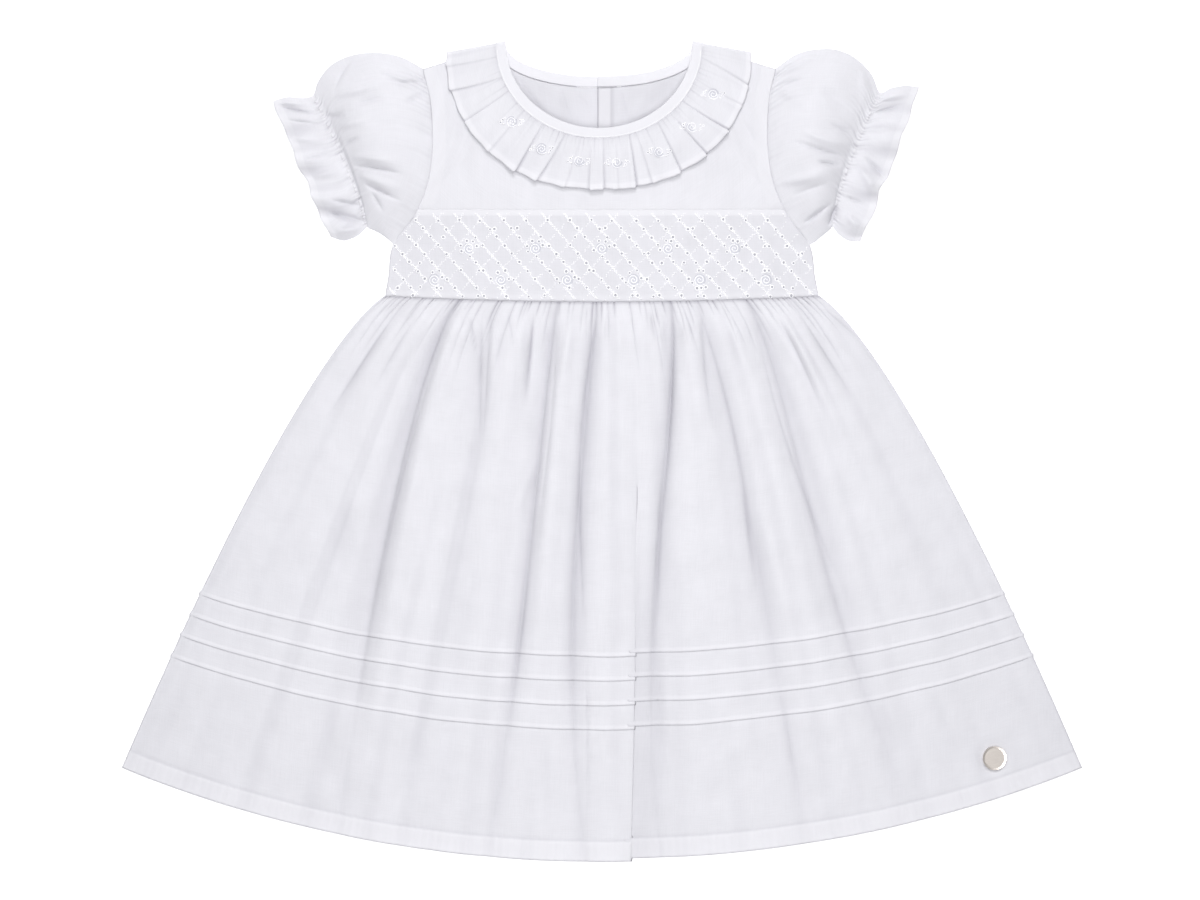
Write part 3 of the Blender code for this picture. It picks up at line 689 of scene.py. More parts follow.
widths = np.linspace(0.0, BINDING_WIDTH, 7)
points, front = neck_strip(
    widths, BINDING_THICK, 0.0, BINDING_THICK, PLACKET_LEFT, PLACKET_RIGHT, BINDING_STEPS)
binding = cloth_sheet("neck_band", points, 0.5, 0.0, thick=BINDING_THICK)
rounded = binding.modifiers.new("rolled edge", "BEVEL")
rounded.width = 0.0008
rounded.segments = 3
rounded.limit_method = "ANGLE"
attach(binding, "root")
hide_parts("neck_binding")

angles = np.linspace(math.pi, 2 * math.pi, BINDING_STEPS)[1:-1][6:-6:2]
x, y = neck_point(angles, BINDING_WIDTH - 0.0010, NECK_FRONT_DROP)
places = np.column_stack([x, y, front_height(x, y) + BINDING_THICK - 0.00012])
turns = np.arctan2(np.gradient(y), np.gradient(x))
neck_stitches = scatter("neck_stitches", bead, places, turns, (0.00050, 0.00022, 0.00022), thread)

# ------------------------------------------------------------------ neck ruffle
# One strip of lawn gathered into the neck seam, with small uneven knife pleats pressed flat, a narrow
# turned edge and seven little roses worked across the front.
# Each pleat: its angle at the neck seam and at the edge in degrees from the left shoulder, and how far it
# drops, to the right if above zero
PLEATS = (
    (6.0, 4.0, 0.0005), (19.0, 14.0, 0.0010), (30.0, 29.0, -0.0006), (43.0, 43.5, 0.0005),
    (56.4, 56.5, 0.0014), (70.4, 65.5, 0.0011), (79.0, 76.5, 0.0004), (86.2, 86.9, -0.0008),
    (91.6, 91.2, 0.0009), (98.5, 96.5, 0.0004), (106.3, 103.5, 0.0014), (112.0, 111.0, -0.0007),
    (124.0, 121.7, 0.0012), (133.0, 134.0, 0.0014), (143.0, 147.0, 0.0015), (157.0, 158.5, 0.0005),
    (172.0, 167.0, 0.0009),
)
# Each rose: its angle from the left shoulder in degrees, and how far out it sits
MOTIFS = ((42.8, 0.0096), (62.6, 0.0130), (81.0, 0.0141), (98.0, 0.0151), (118.0, 0.0151), (137.7, 0.0138),
          (156.8, 0.0128))
RUFFLE_HEM = 0.0032
RUFFLE_STEPS = 640
BACK_PLEATS = 9
MOTIF_SIZE = 0.0032
FRILL_STITCH_SIZE = np.array([0.00062, 0.00036, 0.00055])


def ruffle_lift(angle, share):
    """The pleats and gathers of the ruffle's front; share runs from the neck seam to the edge."""
    degrees = np.degrees(angle - math.pi)
    lift = np.zeros(np.broadcast(degrees, share).shape)
    for at_seam, at_edge, drop in PLEATS:
        off = (degrees - mix(at_seam, at_edge, share)) * math.copysign(1.0, drop)
        bank = np.exp(np.minimum(off, 0.0) / 5.0) * (off <= 0)
        step = 1 - ease(off / 0.55)
        lift += abs(drop) * (0.35 + 0.65 * share) * np.where(off <= 0, bank, step)
    gathers = np.random.default_rng(8)
    for at in np.arange(2.0, 178.0, 2.6):
        at += gathers.uniform(-0.9, 0.9)
        wide = gathers.uniform(0.45, 0.9)
        long = gathers.uniform(0.10, 0.40)
        fade = np.exp(-((degrees - at) / wide) ** 2) * np.exp(-share / long)
        lift += gathers.uniform(-0.00035, 0.0004) * fade
    calm = ease(degrees / 4) * ease((180 - degrees) / 4)
    return (lift + 0.00025 * share * np.sin(angle * 34.0) + 0.0003 * share) * calm


near = BINDING_WIDTH - 0.0004
widths = np.linspace(near, near + RUFFLE_WIDTH, 36)
ends = (NECK[0] - 0.012, NECK[0] + 0.012)
points, front = neck_strip(widths, CAD_CLOTH, LAYER, CAD_CLOTH, *ends, RUFFLE_STEPS)
share = np.linspace(0, 1, len(widths))[:, None]
angle = np.linspace(math.pi, 2 * math.pi, RUFFLE_STEPS)[None, 1:-1]
lift = ruffle_lift(angle, share)
hem = ease((share - 1 + RUFFLE_HEM / RUFFLE_WIDTH) / 0.02)
points[:, front, 2] += lift + 0.0002 * hem
outwards = np.stack([np.cos(angle[0]), np.sin(angle[0])], axis=-1)
points[:, front, :2] += outwards[None] * (0.9 * lift * share ** 3)[..., None]
# Painted shade: lines for the pleats of the flat back stretches, whose shape has no pleats, and on the front
# its hollows and a band along the neck seam
shade = np.zeros(points.shape[:2])
back_steps = RUFFLE_STEPS // 3
for first, direction in ((0, 1), (points.shape[1] - 1, -1)):
    from_end = np.abs(np.arange(points.shape[1]) - first)
    for pleat in range(BACK_PLEATS):
        off = from_end * (BACK_PLEATS + 0.2) / back_steps - pleat - 0.5 - 0.2 * direction * share
        shade += 0.30 * np.exp(-np.abs(off) / 0.07) * (from_end < back_steps)
shade[:, front] = 0.68 * hollows(lift, 5, 0.00045) + 0.25 * np.exp(-share * 18)
ruffle = cloth_sheet("neck_frill", points, 0.75 * hem, shade, thick=0.0005)
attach(ruffle, "root")
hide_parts("collar_ruffle")


def on_ruffle(x, y):
    """Places on the upper side of the ruffle's front."""
    across, along = x - NECK[0], y - NECK[1]
    out = np.full_like(x, 0.014)
    for _ in range(6):
        angle = np.arctan2(along / (NECK_FRONT_DROP + out), across / (NECK_HALF + out)) % (2 * math.pi)
        edge_x, edge_y = neck_point(angle, 0.0, NECK_FRONT_DROP)
        out = np.hypot(x - edge_x, y - edge_y)
    share = np.clip((out - near) / RUFFLE_WIDTH, 0, 1)
    pairs = zip(angle[:, None, None], share[:, None, None])
    lift = np.array([ruffle_lift(turned, part)[0, 0] for turned, part in pairs])
    return np.column_stack([x, y, front_height(x, y) + LAYER + lift + 0.0005])


SPRIGS = ((-1, 0.50, 1.45), (-1, -0.25, 1.55), (1, -0.50, 1.45), (1, 0.25, 1.55))
KNOTS = ((-1, 0.22, 1.70), (-1, -0.06, 2.10), (1, -0.20, 1.70), (1, 0.10, 2.10))
beads, knots, centres = [], [], []
for degrees, out in MOTIFS:
    angle = math.pi + math.radians(degrees)
    centre = neck_point(angle, near + out, NECK_FRONT_DROP)
    centres.append(centre)
    beads += spiral_rose(centre, 0.0033, 1.9, SPRIGS)
    for side, tilt, reach in KNOTS:
        far = MOTIF_SIZE * reach
        knots.append((centre[0] + side * far * math.cos(tilt), centre[1] + far * math.sin(tilt)))
x, y, turns, weights = np.array(beads).T
places = on_ruffle(x, y) - (0, 0, 0.00005)
frill_roses = scatter("frill_roses", bead, places, turns, FRILL_STITCH_SIZE * weights[:, None], thread)
places = on_ruffle(*np.array(knots).T)
frill_rings = scatter("frill_rings", eyelet_ring, places, 0.0, (0.00070, 0.00070, 0.00070), thread)
# Dark discs just under the frill's eyelet rings: painted shade in the holes
hole_places = places - (0, 0, 0.00004)
frill_hole_shades = scatter("frill_hole_shades", dot, hole_places, 0.0, (0.0005, 0.0005, 0.00006), eyelet_shade_finish)
# Thin grey discs under the frill's roses: painted shade between the stitches
places = on_ruffle(*np.array(centres).T)
frill_rose_shades = scatter("frill_rose_shade_discs", patch, places, 0.0, (0.0034, 0.0034, 0.00018), rose_shade_finish)

# ------------------------------------------------------------------ puffed sleeves
# Short full sleeves, gathered over the shoulder into the armhole and drawn in above the edge by a channel
# of elastic, so that the cloth beyond it makes a small frill. Their under side lies flat.
SLEEVE_EDGE = 0.0019
SLEEVE_LOW = 0.0011
CREASE_DEPTH = 2.1
OVER_STEPS, UNDER_STEPS = 200, 30
# Where a gather starts at the armhole, as a share of the way down it
ARMHOLE_GATHERS = (0.06, 0.10, 0.14, 0.17, 0.22, 0.27, 0.36, 0.5, 0.66, 0.8, 0.9)
# Where the frill's edge steps in: share of its length, how far, and half width
NOTCHES = {-1: ((0.30, 0.0010, 0.10), (0.62, 0.0016, 0.07)), 1: ((0.36, 0.0009, 0.10), (0.66, 0.0026, 0.06))}
# Each section: top point, bottom point, share of the armhole's curve and height, outwards from the middle
SECTION_AT = (0.0, 0.17, 0.34, 0.52, 0.69, 0.84, 1.0, 1.12, 1.27, 1.42)
SLEEVES = {
    -1: ((0.1213, 0.2370, 0.1275, 0.1262, 0.80, 0.0115), (0.1362, 0.2394, 0.1310, 0.1290, 0.64, 0.0150),
         (0.1512, 0.2376, 0.1345, 0.1312, 0.48, 0.0155), (0.1632, 0.2316, 0.1378, 0.1328, 0.33, 0.0125),
         (0.1704, 0.2226, 0.1402, 0.1336, 0.24, 0.0085), (0.1740, 0.2136, 0.1416, 0.1340, 0.20, 0.0052),
         (0.1800, 0.2122, 0.1465, 0.1295, 0.12, 0.0066), (0.1890, 0.2128, 0.1550, 0.1264, 0.00, 0.0084),
         (0.1980, 0.2106, 0.1632, 0.1285, -0.08, 0.0078)),
    1: ((0.1176, 0.2388, 0.1274, 0.1252, 0.80, 0.0115), (0.1310, 0.2416, 0.1304, 0.1276, 0.64, 0.0150),
        (0.1430, 0.2406, 0.1334, 0.1300, 0.50, 0.0155), (0.1536, 0.2352, 0.1360, 0.1322, 0.36, 0.0125),
        (0.1620, 0.2264, 0.1376, 0.1336, 0.28, 0.0085), (0.1674, 0.2154, 0.1388, 0.1342, 0.24, 0.0052),
        (0.1732, 0.2180, 0.1420, 0.1304, 0.12, 0.0066), (0.1822, 0.2196, 0.1480, 0.1264, -0.04, 0.0084),
        (0.1902, 0.2188, 0.1550, 0.1262, -0.16, 0.0078)),
}
SLEEVE_CREASES = {
    -1: (
        (-132, 228.6, -108.6, 221.4, 1.2, 1.2, 2.5),
        (-122.4, 220.8, -105.6, 222.6, 0, -1.2, 1.3),
        (-118.8, 208.8, -105.6, 215.4, 0, -1, 1.4),
        (-160.2, 212.4, -123, 222.6, 0, 1.2, 3.6),
        (-148.2, 208.8, -128.4, 212.4, 0, -0.9, 2.9),
        (-150, 234.6, -161.4, 211.8, 1.8, -0.8, 2.2),
        (-168, 200.4, -153, 201.6, 0, -1.2, 3.6),
        (-157.2, 183, -144, 188.4, 0, -1, 1.8),
        (-150, 171, -115.2, 163.8, -1.2, -1.5, 1.7),
        (-150, 175.8, -118.2, 171, -1.2, 1.2, 2.9),
        (-142.8, 160.2, -118.8, 148.8, 0, -1.3, 1.9),
        (-145.2, 165, -118.2, 155.4, 0, 1, 2.9),
        (-138, 155.4, -130.8, 142.2, 0, -1, 2.2),
        (-158.4, 193.8, -138, 199.8, 0, 0.8, 2.9),
        (-196.8, 209.4, -174, 208.2, 0, 0.9, 1.8),
        (-193.2, 206.4, -169.2, 202.2, 0, -1.3, 1.3),
        (-189.6, 198.6, -168, 196.2, 0, -0.8, 1.3),
        (-188.4, 187.8, -163.2, 186.6, 0, 0.9, 2.9),
        (-181.2, 174.6, -160.8, 180.6, 0, -1, 1.8),
        (-174, 163.8, -154.2, 169.8, 0, 1, 2.9),
        (-163.2, 150.6, -141.6, 147, 0, -1.4, 2.2),
        (-164.4, 143.4, -141, 137.4, 0, -2.6, 2.9),
        (-159.6, 131.4, -144, 133.8, 0, 1.4, 2.9),
    ),
    1: (
        (105, 225, 127.2, 237, 0, 1, 2.5),
        (104.4, 220.2, 122.4, 225, 0, -1, 1.6),
        (105.6, 215.4, 118.8, 211.8, 0, 0.9, 2.9),
        (114.6, 186, 152.4, 175.8, 1.2, -1.4, 1.7),
        (118.8, 191.4, 152.4, 182.4, 1.2, 1, 2.9),
        (127.8, 173.4, 144, 171, 0, -1.2, 1.4),
        (106.8, 160.2, 141.6, 167.4, 0, 1.2, 3.6),
        (112.8, 153, 138, 161.4, 0, -0.8, 2.9),
        (120.6, 136.2, 139.2, 149.4, 0, -1.6, 2.2),
        (135.6, 196.2, 153.6, 189, 0, -0.8, 2.2),
        (130.8, 219, 150, 199.8, 0, -0.8, 5),
        (156, 232.2, 159.6, 203.4, 0, 0.7, 3.6),
        (163.2, 203.4, 182.4, 208.2, 0, -1.2, 1.7),
        (165.6, 210.6, 186, 215.4, 0, 1, 2.2),
        (158.4, 192.6, 178.8, 193.8, 0, 0.9, 2.9),
        (157.2, 177, 172.8, 160.2, 0, -1.5, 2.2),
        (153.6, 171, 166.8, 153, 0, 1.2, 2.9),
        (141.6, 148.2, 135.6, 133.8, 0, -2.4, 2.2),
        (146.4, 153, 159.6, 147, 0, -1, 1.7),
        (146.4, 142.2, 157.2, 130.2, 0, 1.3, 2.9),
    ),
}


def armhole_curve(share):
    y = mix(ARMHOLE_TOP, UNDERARM, share)
    return half_width(y) - mix(half_width(ARMHOLE_TOP), half_width(UNDERARM), share)


def sew_sleeve(hand, name, node):
    """A sleeve as one tube, from the armhole out to the frill's edge, over the top and back underneath."""
    random = np.random.default_rng(40 + hand)
    top, bottom = (hand * lean(y) + half_width(y) - LAP for y in (ARMHOLE_TOP, UNDERARM))
    armhole = (top, ARMHOLE_TOP, bottom, UNDERARM, 1.0, LAYER + ARMHOLE_LIFT + 0.0006)
    table = np.array((armhole,) + SLEEVES[hand])
    near_elastic, past_elastic = np.linspace(0.93, 1.07, 20)[1:], np.linspace(1.07, 1.42, 30)[1:]
    at = np.concatenate([np.linspace(0, 0.93, 62), near_elastic, past_elastic])[:, None]
    columns = [smooth_curve(SECTION_AT, column, at) for column in table.T]
    top_x, top_y, bottom_x, bottom_y, curve, high = columns
    over = 0.5 - 0.5 * np.cos(np.linspace(0, math.pi, OVER_STEPS))
    under = 0.5 + 0.5 * np.cos(np.linspace(0, math.pi, UNDER_STEPS + 2))[1:-1]
    share = np.concatenate([over, under])[None]
    upper = np.concatenate([np.ones(OVER_STEPS), np.zeros(UNDER_STEPS)])[None]
    x = hand * (mix(top_x, bottom_x, share) + curve * armhole_curve(share))
    y = mix(top_y, bottom_y, share) + 0 * x
    dome = np.sin(math.pi * share) ** mix(1.0, 0.72, np.minimum(at / 0.34, 1.0))
    height = SLEEVE_EDGE + (high - SLEEVE_EDGE) * dome
    from_elastic = np.abs(at - 1.0)
    frill = ease((at - 1.0) / 0.3)
    pucker = np.zeros_like(x)
    where = 0.03
    while where < 0.97:
        wide = random.uniform(0.005, 0.011)
        long = random.choice([0.03, 0.055, 0.11], p=[0.45, 0.35, 0.2])
        off = (share - where + random.uniform(-0.05, 0.05) * (at - 1.0)) / wide
        reach = from_elastic * np.where(at > 1, 1.7, 1.0)
        pucker += random.uniform(0.0008, 0.0023) * np.exp(-off ** 2) * np.exp(-reach / long)
        where += wide * random.uniform(1.9, 3.0)
    for where in ARMHOLE_GATHERS:
        where += random.uniform(-0.010, 0.010)
        tall = random.uniform(0.0006, 0.0014) * (1.0 if where < 0.25 else 0.45)
        long = random.uniform(0.06, 0.2)
        pucker += tall * np.exp(-((share - where) / 0.009) ** 2) * np.exp(-at / long) * ease(at / 0.03)
    channel = np.exp(-(from_elastic / 0.020) ** 2)
    waves = 0.0013 * frill * np.sin(2 * math.pi * (3.3 * share ** 1.3 + 0.15 * hand + 0.25 * at))
    waves = waves + 0.0006 * frill * np.sin(2 * math.pi * (7.0 * share + 0.3 * hand - 0.4 * at))
    folds, shade = creases(x, y, SLEEVE_CREASES[hand], CREASE_DEPTH)
    shade = upper * (0.42 * shade + 0.55 * hollows(pucker, 2, 0.0006) + 0.22 * hollows(waves, 9, 0.0007))
    detail = folds + pucker + waves - 0.0004 * channel + 0.0005 * soft_wave(x, y, 0.022, 60 + hand)
    detail -= 0.0012 * np.exp(-at / 0.018)
    height = height + detail * ease(np.minimum(share, 1 - share) / 0.05)
    height = np.where(upper > 0, np.maximum(height, SLEEVE_LOW), 0.0)
    edge_wave = 0.0004 * np.sin(2 * math.pi * 5.0 * share + hand)
    for where, deep, wide in NOTCHES[hand]:
        edge_wave = edge_wave - deep * np.exp(-((share - where) / wide) ** 2)
    x = x + hand * edge_wave * ease((at - 1.2) / 0.2)
    points = np.stack([x, y, height], axis=-1)
    double = np.maximum(0.7 * ease((at - 1.335) / 0.01), 0.8 * channel)
    if hand < 0:
        points, shade = points[:, ::-1], shade[:, ::-1]
    cut = lay_out(points)[::-1]
    piece = cloth_sheet(name, points[::-1], double[::-1], shade[::-1], cut=cut, closed=True)
    piece.modifiers["thickness"].offset = -1.0
    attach(piece, "root")
    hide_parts(node)


sew_sleeve(-1, "puffed_sleeve_left", "sleeve_left")
sew_sleeve(1, "puffed_sleeve_right", "sleeve_right")

# ------------------------------------------------------------------ front skirt
# A wide panel gathered into the waist seam, so that it falls in soft folds. Near the hem are four pin
# tucks, narrow folds stitched down and pressed to the hem; the hem itself is turned up and stitched.
HEM = -0.2466
HEM_HALF = 0.2886
HEM_RADIUS = 0.7686
FLARE = 0.765
SKIRT_LONG = 0.3350
FOLD_DEPTH = 2.1
SKIRT_DEPTH = 2.2
FOLD_MIDDLE = 0.40
TUCKS = (0.6310, 0.6747, 0.7184, 0.7621)
TUCK_DEEP = 0.0085
TUCK_HIGH = 0.00060
# The waist gathers: how long they are and how far apart, each with how often it comes
GATHER_LONG = ((0.035, 0.060, 0.105, 0.170), (0.36, 0.30, 0.22, 0.12))
GATHER_APART = ((0.016, 0.026, 0.042, 0.062), (0.3, 0.35, 0.23, 0.12))
HEM_TURN = 0.0122
HEM_LINE = 1 - HEM_TURN / SKIRT_LONG
SKIRT_CLOTH = 0.0004
PLEAT_UNDER = 0.0060
PLEAT_LIFT = 0.0018
PLEAT_STACK = 0.00028
PLEAT = (0.130, 0.101, 0.063)
LEFT_STEPS, TURN_STEPS, RIGHT_STEPS = 226, 6, 179
DISC_PLACE = (0.2357, -0.1843)
DISC_HOLLOW = 0.016
UNDER_DISC = 0.0032
LOWEST = 0.0009
# Each line of the big folds: across at the waist, middle and hem, its height there, and how sharp it is
FOLDS = (
    (-1.000, -1.000, -1.000, 0.0000, 0.0000, 0.0000, 0.0),
    (-0.860, -0.930, -0.945, 0.0006, 0.0010, 0.0006, 0.2),
    (-0.755, -0.790, -0.780, 0.0030, 0.0026, 0.0012, 0.0),
    (-0.655, -0.605, -0.550, 0.0004, 0.0002, 0.0006, 0.8),
    (-0.600, -0.555, -0.490, 0.0036, 0.0038, 0.0024, 0.0),
    (-0.490, -0.385, -0.360, 0.0020, 0.0020, 0.0012, 0.1),
    (-0.380, -0.290, -0.290, 0.0036, 0.0032, 0.0024, 0.0),
    (-0.200, -0.200, -0.240, 0.0008, 0.0004, 0.0006, 0.9),
    (-0.140, -0.150, -0.160, 0.0036, 0.0038, 0.0026, 0.0),
    (-0.020, -0.072, -0.035, 0.0008, 0.0002, 0.0008, 1.0),
    (0.060, 0.010, 0.015, 0.0036, 0.0036, 0.0028, 0.0),
    (0.200, 0.120, 0.085, 0.0034, 0.0020, 0.0016, 0.0),
    (0.312, 0.167, 0.123, 0.0006, 0.0002, 0.0006, 1.0),
    (0.365, 0.260, 0.240, 0.0036, 0.0036, 0.0026, 0.0),
    (0.424, 0.425, 0.423, 0.0014, 0.0008, 0.0010, 0.4),
    (0.535, 0.520, 0.555, 0.0036, 0.0036, 0.0024, 0.0),
    (0.655, 0.600, 0.660, 0.0008, 0.0002, 0.0006, 0.8),
    (0.780, 0.770, 0.790, 0.0034, 0.0030, 0.0014, 0.0),
    (0.900, 0.885, 0.920, 0.0010, 0.0010, 0.0005, 0.3),
    (1.000, 1.000, 1.000, 0.0000, 0.0000, 0.0000, 0.0),
)
SKIRT_CREASES = (
    (-2.4, 85, -14.2, -15, 2, -0.8, 1.5),
    (-13.8, 5, -9.8, -120, 0.7, -0.6, 1.8),
    (42.8, 87, 34.8, -48, -2.3, -1.1, 1.9),
    (36, -20, 33.2, -110, 1, -0.6, 2.5),
    (-26.2, 85, -45, -90, -3.2, -0.5, 1.8),
    (-44, -75, -56, -165, 0, -0.4, 2.2),
    (-89, 83, -136, -108, 5.9, -0.45, 2.2),
    (-66, 84, -71.5, -2, 0, -0.5, 1.8),
    (-40.5, 84, -47.5, 20, 0, -0.5, 1.8),
    (58, 85, 91, -79, -5.9, -0.45, 2),
    (90.4, 84.5, 153, -100, 6.4, -0.45, 2.2),
    (106.8, 84.5, 160, -20, 1, 0.5, 3),
    (-128.4, 77.4, -168, 15.6, 0, -0.7, 3),
    (-120, 79.8, -150, 35.4, 1.2, 0.6, 3.5),
    (-111.6, 79.8, -138, 33.6, 1.2, -0.5, 3),
    (-103.2, 81, -122.4, 47.4, 0, 0.5, 3),
    (-79.2, 82.2, -74.4, 53.4, 0, -0.6, 2),
    (-72, 82.2, -73.2, 0.6, 0, -0.7, 3),
    (-64.2, 82.2, -67.8, 21.6, 0, 0.6, 3),
    (-56.4, 83.4, -52.2, 60.6, 0, -0.5, 2),
    (-49.2, 82.2, -47.4, 6.6, 0, 0.5, 3),
    (-40.8, 82.8, -45, 24.6, 0, -0.8, 2.5),
    (-34.2, 82.8, -37.2, 42.6, 0, 0.5, 2.5),
    (-18, 83.4, -24.6, 33.6, 0, 0.6, 3),
    (2.4, 83.4, 1.2, 63.6, 0, -0.4, 2),
    (9.6, 83.4, 10.8, 48.6, 0, 0.4, 3),
    (28.8, 84.6, 32.4, 63.6, 0, -0.7, 2),
    (36, 83.4, 34.8, 59.4, 0, 0.5, 2),
    (49.2, 83.4, 51.6, 60.6, 0, 0.5, 2),
    (60, 82.2, 67.8, 6.6, 1.8, -0.6, 3),
    (55.2, 83.4, 60, 54.6, 0, 0.5, 2.5),
    (76.8, 83.4, 90, 39.6, 1.2, 0.6, 3),
    (84, 83.4, 94.8, 54.6, 0, -0.5, 2.5),
    (99.6, 83.4, 122.4, 39.6, 0, 0.5, 3),
    (108, 82.2, 140.4, 17.4, -1.2, 0.9, 2.5),
    (104.4, 82.2, 132, 24.6, -1.2, -0.5, 2.5),
    (117.6, 83.4, 151.8, 30.6, 0, -0.6, 3),
    (126, 85.8, 171.6, 23.4, 0, 0.6, 4),
    (132, 87, 156, 66.6, 0, -0.6, 2.5),
    (-37.2, 0.6, -58.2, -51.6, 0, 0.5, 3),
    (-109.2, -11.4, -118.8, -35.4, 0, 0.4, 4),
    (-150, -29.4, -163.2, -89.4, 0, -0.8, 9),
    (-79.2, -65.4, -91.2, -113.4, 0, 0.5, 6),
    (84, -20.4, 93, -89.4, 0, -0.6, 3),
    (93, -29.4, 112.8, -113.4, 0, 0.5, 5),
    (162, -41.4, 181.8, -89.4, 0, 0.5, 6),
    (-160.2, -149.4, -170.4, -203.4, 0, -0.5, 6),
    (-146.4, -143.4, -156, -209.4, 0, 0.5, 5),
    (-106.2, -149.4, -118.2, -215.4, 0, -0.6, 6),
    (-79.2, -161.4, -90, -227.4, 0, 0.4, 6),
    (-61.2, -161.4, -67.2, -233.4, 0, -0.5, 5),
    (-34.2, -167.4, -32.4, -239.4, 0, -0.5, 5),
    (-9, -119.4, -8.4, -236.4, 0, -0.5, 1.5),
    (1.2, -119.4, 1.8, -239.4, 0, 0.4, 5),
    (33.6, -113.4, 36, -239.4, 0, -0.7, 5),
    (52.8, -119.4, 58.8, -236.4, 0, 0.5, 8),
    (106.8, -143.4, 120, -221.4, 0, -0.6, 4),
    (130.8, -143.4, 148.8, -215.4, 0, 0.4, 8),
    (166.8, -149.4, 181.8, -197.4, 0, -0.5, 6),
    (196.8, -143.4, 223.8, -203.4, 0, -0.4, 7),
)


def skirt_place(across, down):
    half = mix(WAIST_HALF, HEM_HALF, down ** FLARE)
    hem = HEM + HEM_RADIUS - np.sqrt(HEM_RADIUS ** 2 - (across * HEM_HALF) ** 2)
    return across * half, mix(waist_line(across) - SEAM / 2, hem, down)


def along_fold(waist, middle, hem, down):
    at_waist = (down - FOLD_MIDDLE) * (down - 1) / FOLD_MIDDLE
    at_middle = down * (1 - down) / (FOLD_MIDDLE * (1 - FOLD_MIDDLE))
    at_hem = down * (down - FOLD_MIDDLE) / (1 - FOLD_MIDDLE)
    return waist * at_waist + middle * at_middle + hem * at_hem


def fold_height(across, down):
    """The big folds: a smooth run over the ridges, dipping softly or sharply into the hollows."""
    height = np.zeros_like(across)
    for line, after in zip(FOLDS, FOLDS[1:]):
        start, end = along_fold(*line[:3], down), along_fold(*after[:3], down)
        share = (across - start) / (end - start)
        inside = (share >= 0) & (share <= 1)
        share = np.clip(share, 0, 1)
        rising = np.sin(share * math.pi / 2) ** 0.85
        falling = 1 - np.sin((1 - share) * math.pi / 2) ** 0.85
        blend = mix(mix(ease(share), rising, line[6]), falling, after[6])
        low, high = along_fold(*line[3:6], down), along_fold(*after[3:6], down)
        height = np.where(inside, mix(low, high, blend), height)
    return height


def waist_gathers(across, down, seed, deep):
    """Uneven gathers: sharp hollows that start at the waist seam, spread out and fade, and their shade."""
    random = np.random.default_rng(seed)
    height, shade = deep * np.exp(-down / 0.12), np.zeros_like(across)
    where = -0.985
    while where < 0.985:
        long = random.choice(GATHER_LONG[0], p=GATHER_LONG[1]) * random.uniform(0.8, 1.2)
        wide = random.uniform(0.0035, 0.0065) * (0.7 + 6 * down)
        off = (across - where * (1 + 0.02 * down) - random.uniform(-0.12, 0.12) * down) / wide
        fade = ease((long - down) / long) * random.uniform(0.45, 1.0)
        outer = np.where(off * math.copysign(1.0, where) > 0, 1.3, 0.45)
        height -= deep * fade * np.exp(-np.abs(off) / outer)
        shade += 0.52 * fade * np.exp(-np.abs(off) / (0.8 * outer))
        where += random.choice(GATHER_APART[0], p=GATHER_APART[1]) * random.uniform(0.85, 1.15)
    return height, shade


def streaks(across, down, seed):
    """Soft uneven streaks down the cloth, from minus one to one, that drift a little sideways."""
    random = np.random.default_rng(seed)
    total = np.zeros_like(across)
    for _ in range(9):
        turns = random.uniform(9, 34)
        drift = random.uniform(-0.7, 0.7) * down + 0.12 * np.sin(5 * down + random.uniform(0, 6.3))
        strength = 0.6 + 0.4 * np.sin(random.uniform(2, 6) * down + random.uniform(0, 6.3))
        total += strength * np.sin(math.pi * turns * across + 4 * drift + random.uniform(0, 6.3))
    return np.clip(total / 3.2, -1, 1)


def tuck_lift(down):
    """How far the pin tucks lift the cloth, rising to each fold's edge and dropping under it."""
    lift = np.zeros_like(down)
    for edge in TUCKS:
        lift += TUCK_HIGH * ease((down - edge + TUCK_DEEP) / TUCK_DEEP) * (down <= edge + 1e-6)
    return lift


def doubled(down):
    """Where the hem is turned up, and where the cloth lies double there and under the tucks' edges."""
    turned_up = ease((down - HEM_LINE) / 0.003)
    tucked = sum(ease(1 - np.abs(down - edge + 0.004) / 0.005) for edge in TUCKS)
    return turned_up, np.maximum(0.7 * turned_up, 0.45 * tucked)


rows = [*np.linspace(0, 0.06, 13), *np.linspace(0.06, 0.60, 46)[1:]]
for edge in TUCKS:
    rows += [edge - TUCK_DEEP * part for part in (1.0, 0.75, 0.5, 0.25, 0.08, 0.0)]
    rows += [edge + 0.0004, edge + 0.003, edge + 0.016]
rows = np.array(sorted([*rows, *np.linspace(0.80, 0.955, 12), *np.linspace(0.958, 1.0, 11)]))
down = rows[:, None]
pleat = along_fold(*PLEAT, down)
under = mix(-0.010, PLEAT_UNDER / HEM_HALF, ease((down - 0.15) / 0.5))
left = mix(-1.0, pleat, np.linspace(0, 1, LEFT_STEPS)[None])
turned = mix(pleat, pleat - under, np.linspace(0, 1, TURN_STEPS + 1)[None, 1:])
right = mix(pleat - under, 1.0, np.linspace(0, 1, RIGHT_STEPS + 1)[None, 1:])
across = np.concatenate([left, turned, right], axis=1)
going_under = np.linspace(0, 1, TURN_STEPS + 1)[1:]
layer = np.concatenate([np.zeros(LEFT_STEPS), going_under, np.ones(RIGHT_STEPS)])[None]
down = down + 0 * across
x, y = skirt_place(across, down)
right_side = layer * (1 - np.clip((across - pleat) / (1 - pleat), 0, 1))
y = y + LAP * np.exp(-down / 0.004) + PLEAT_LIFT * ease((down - 0.1) / 0.5) * right_side

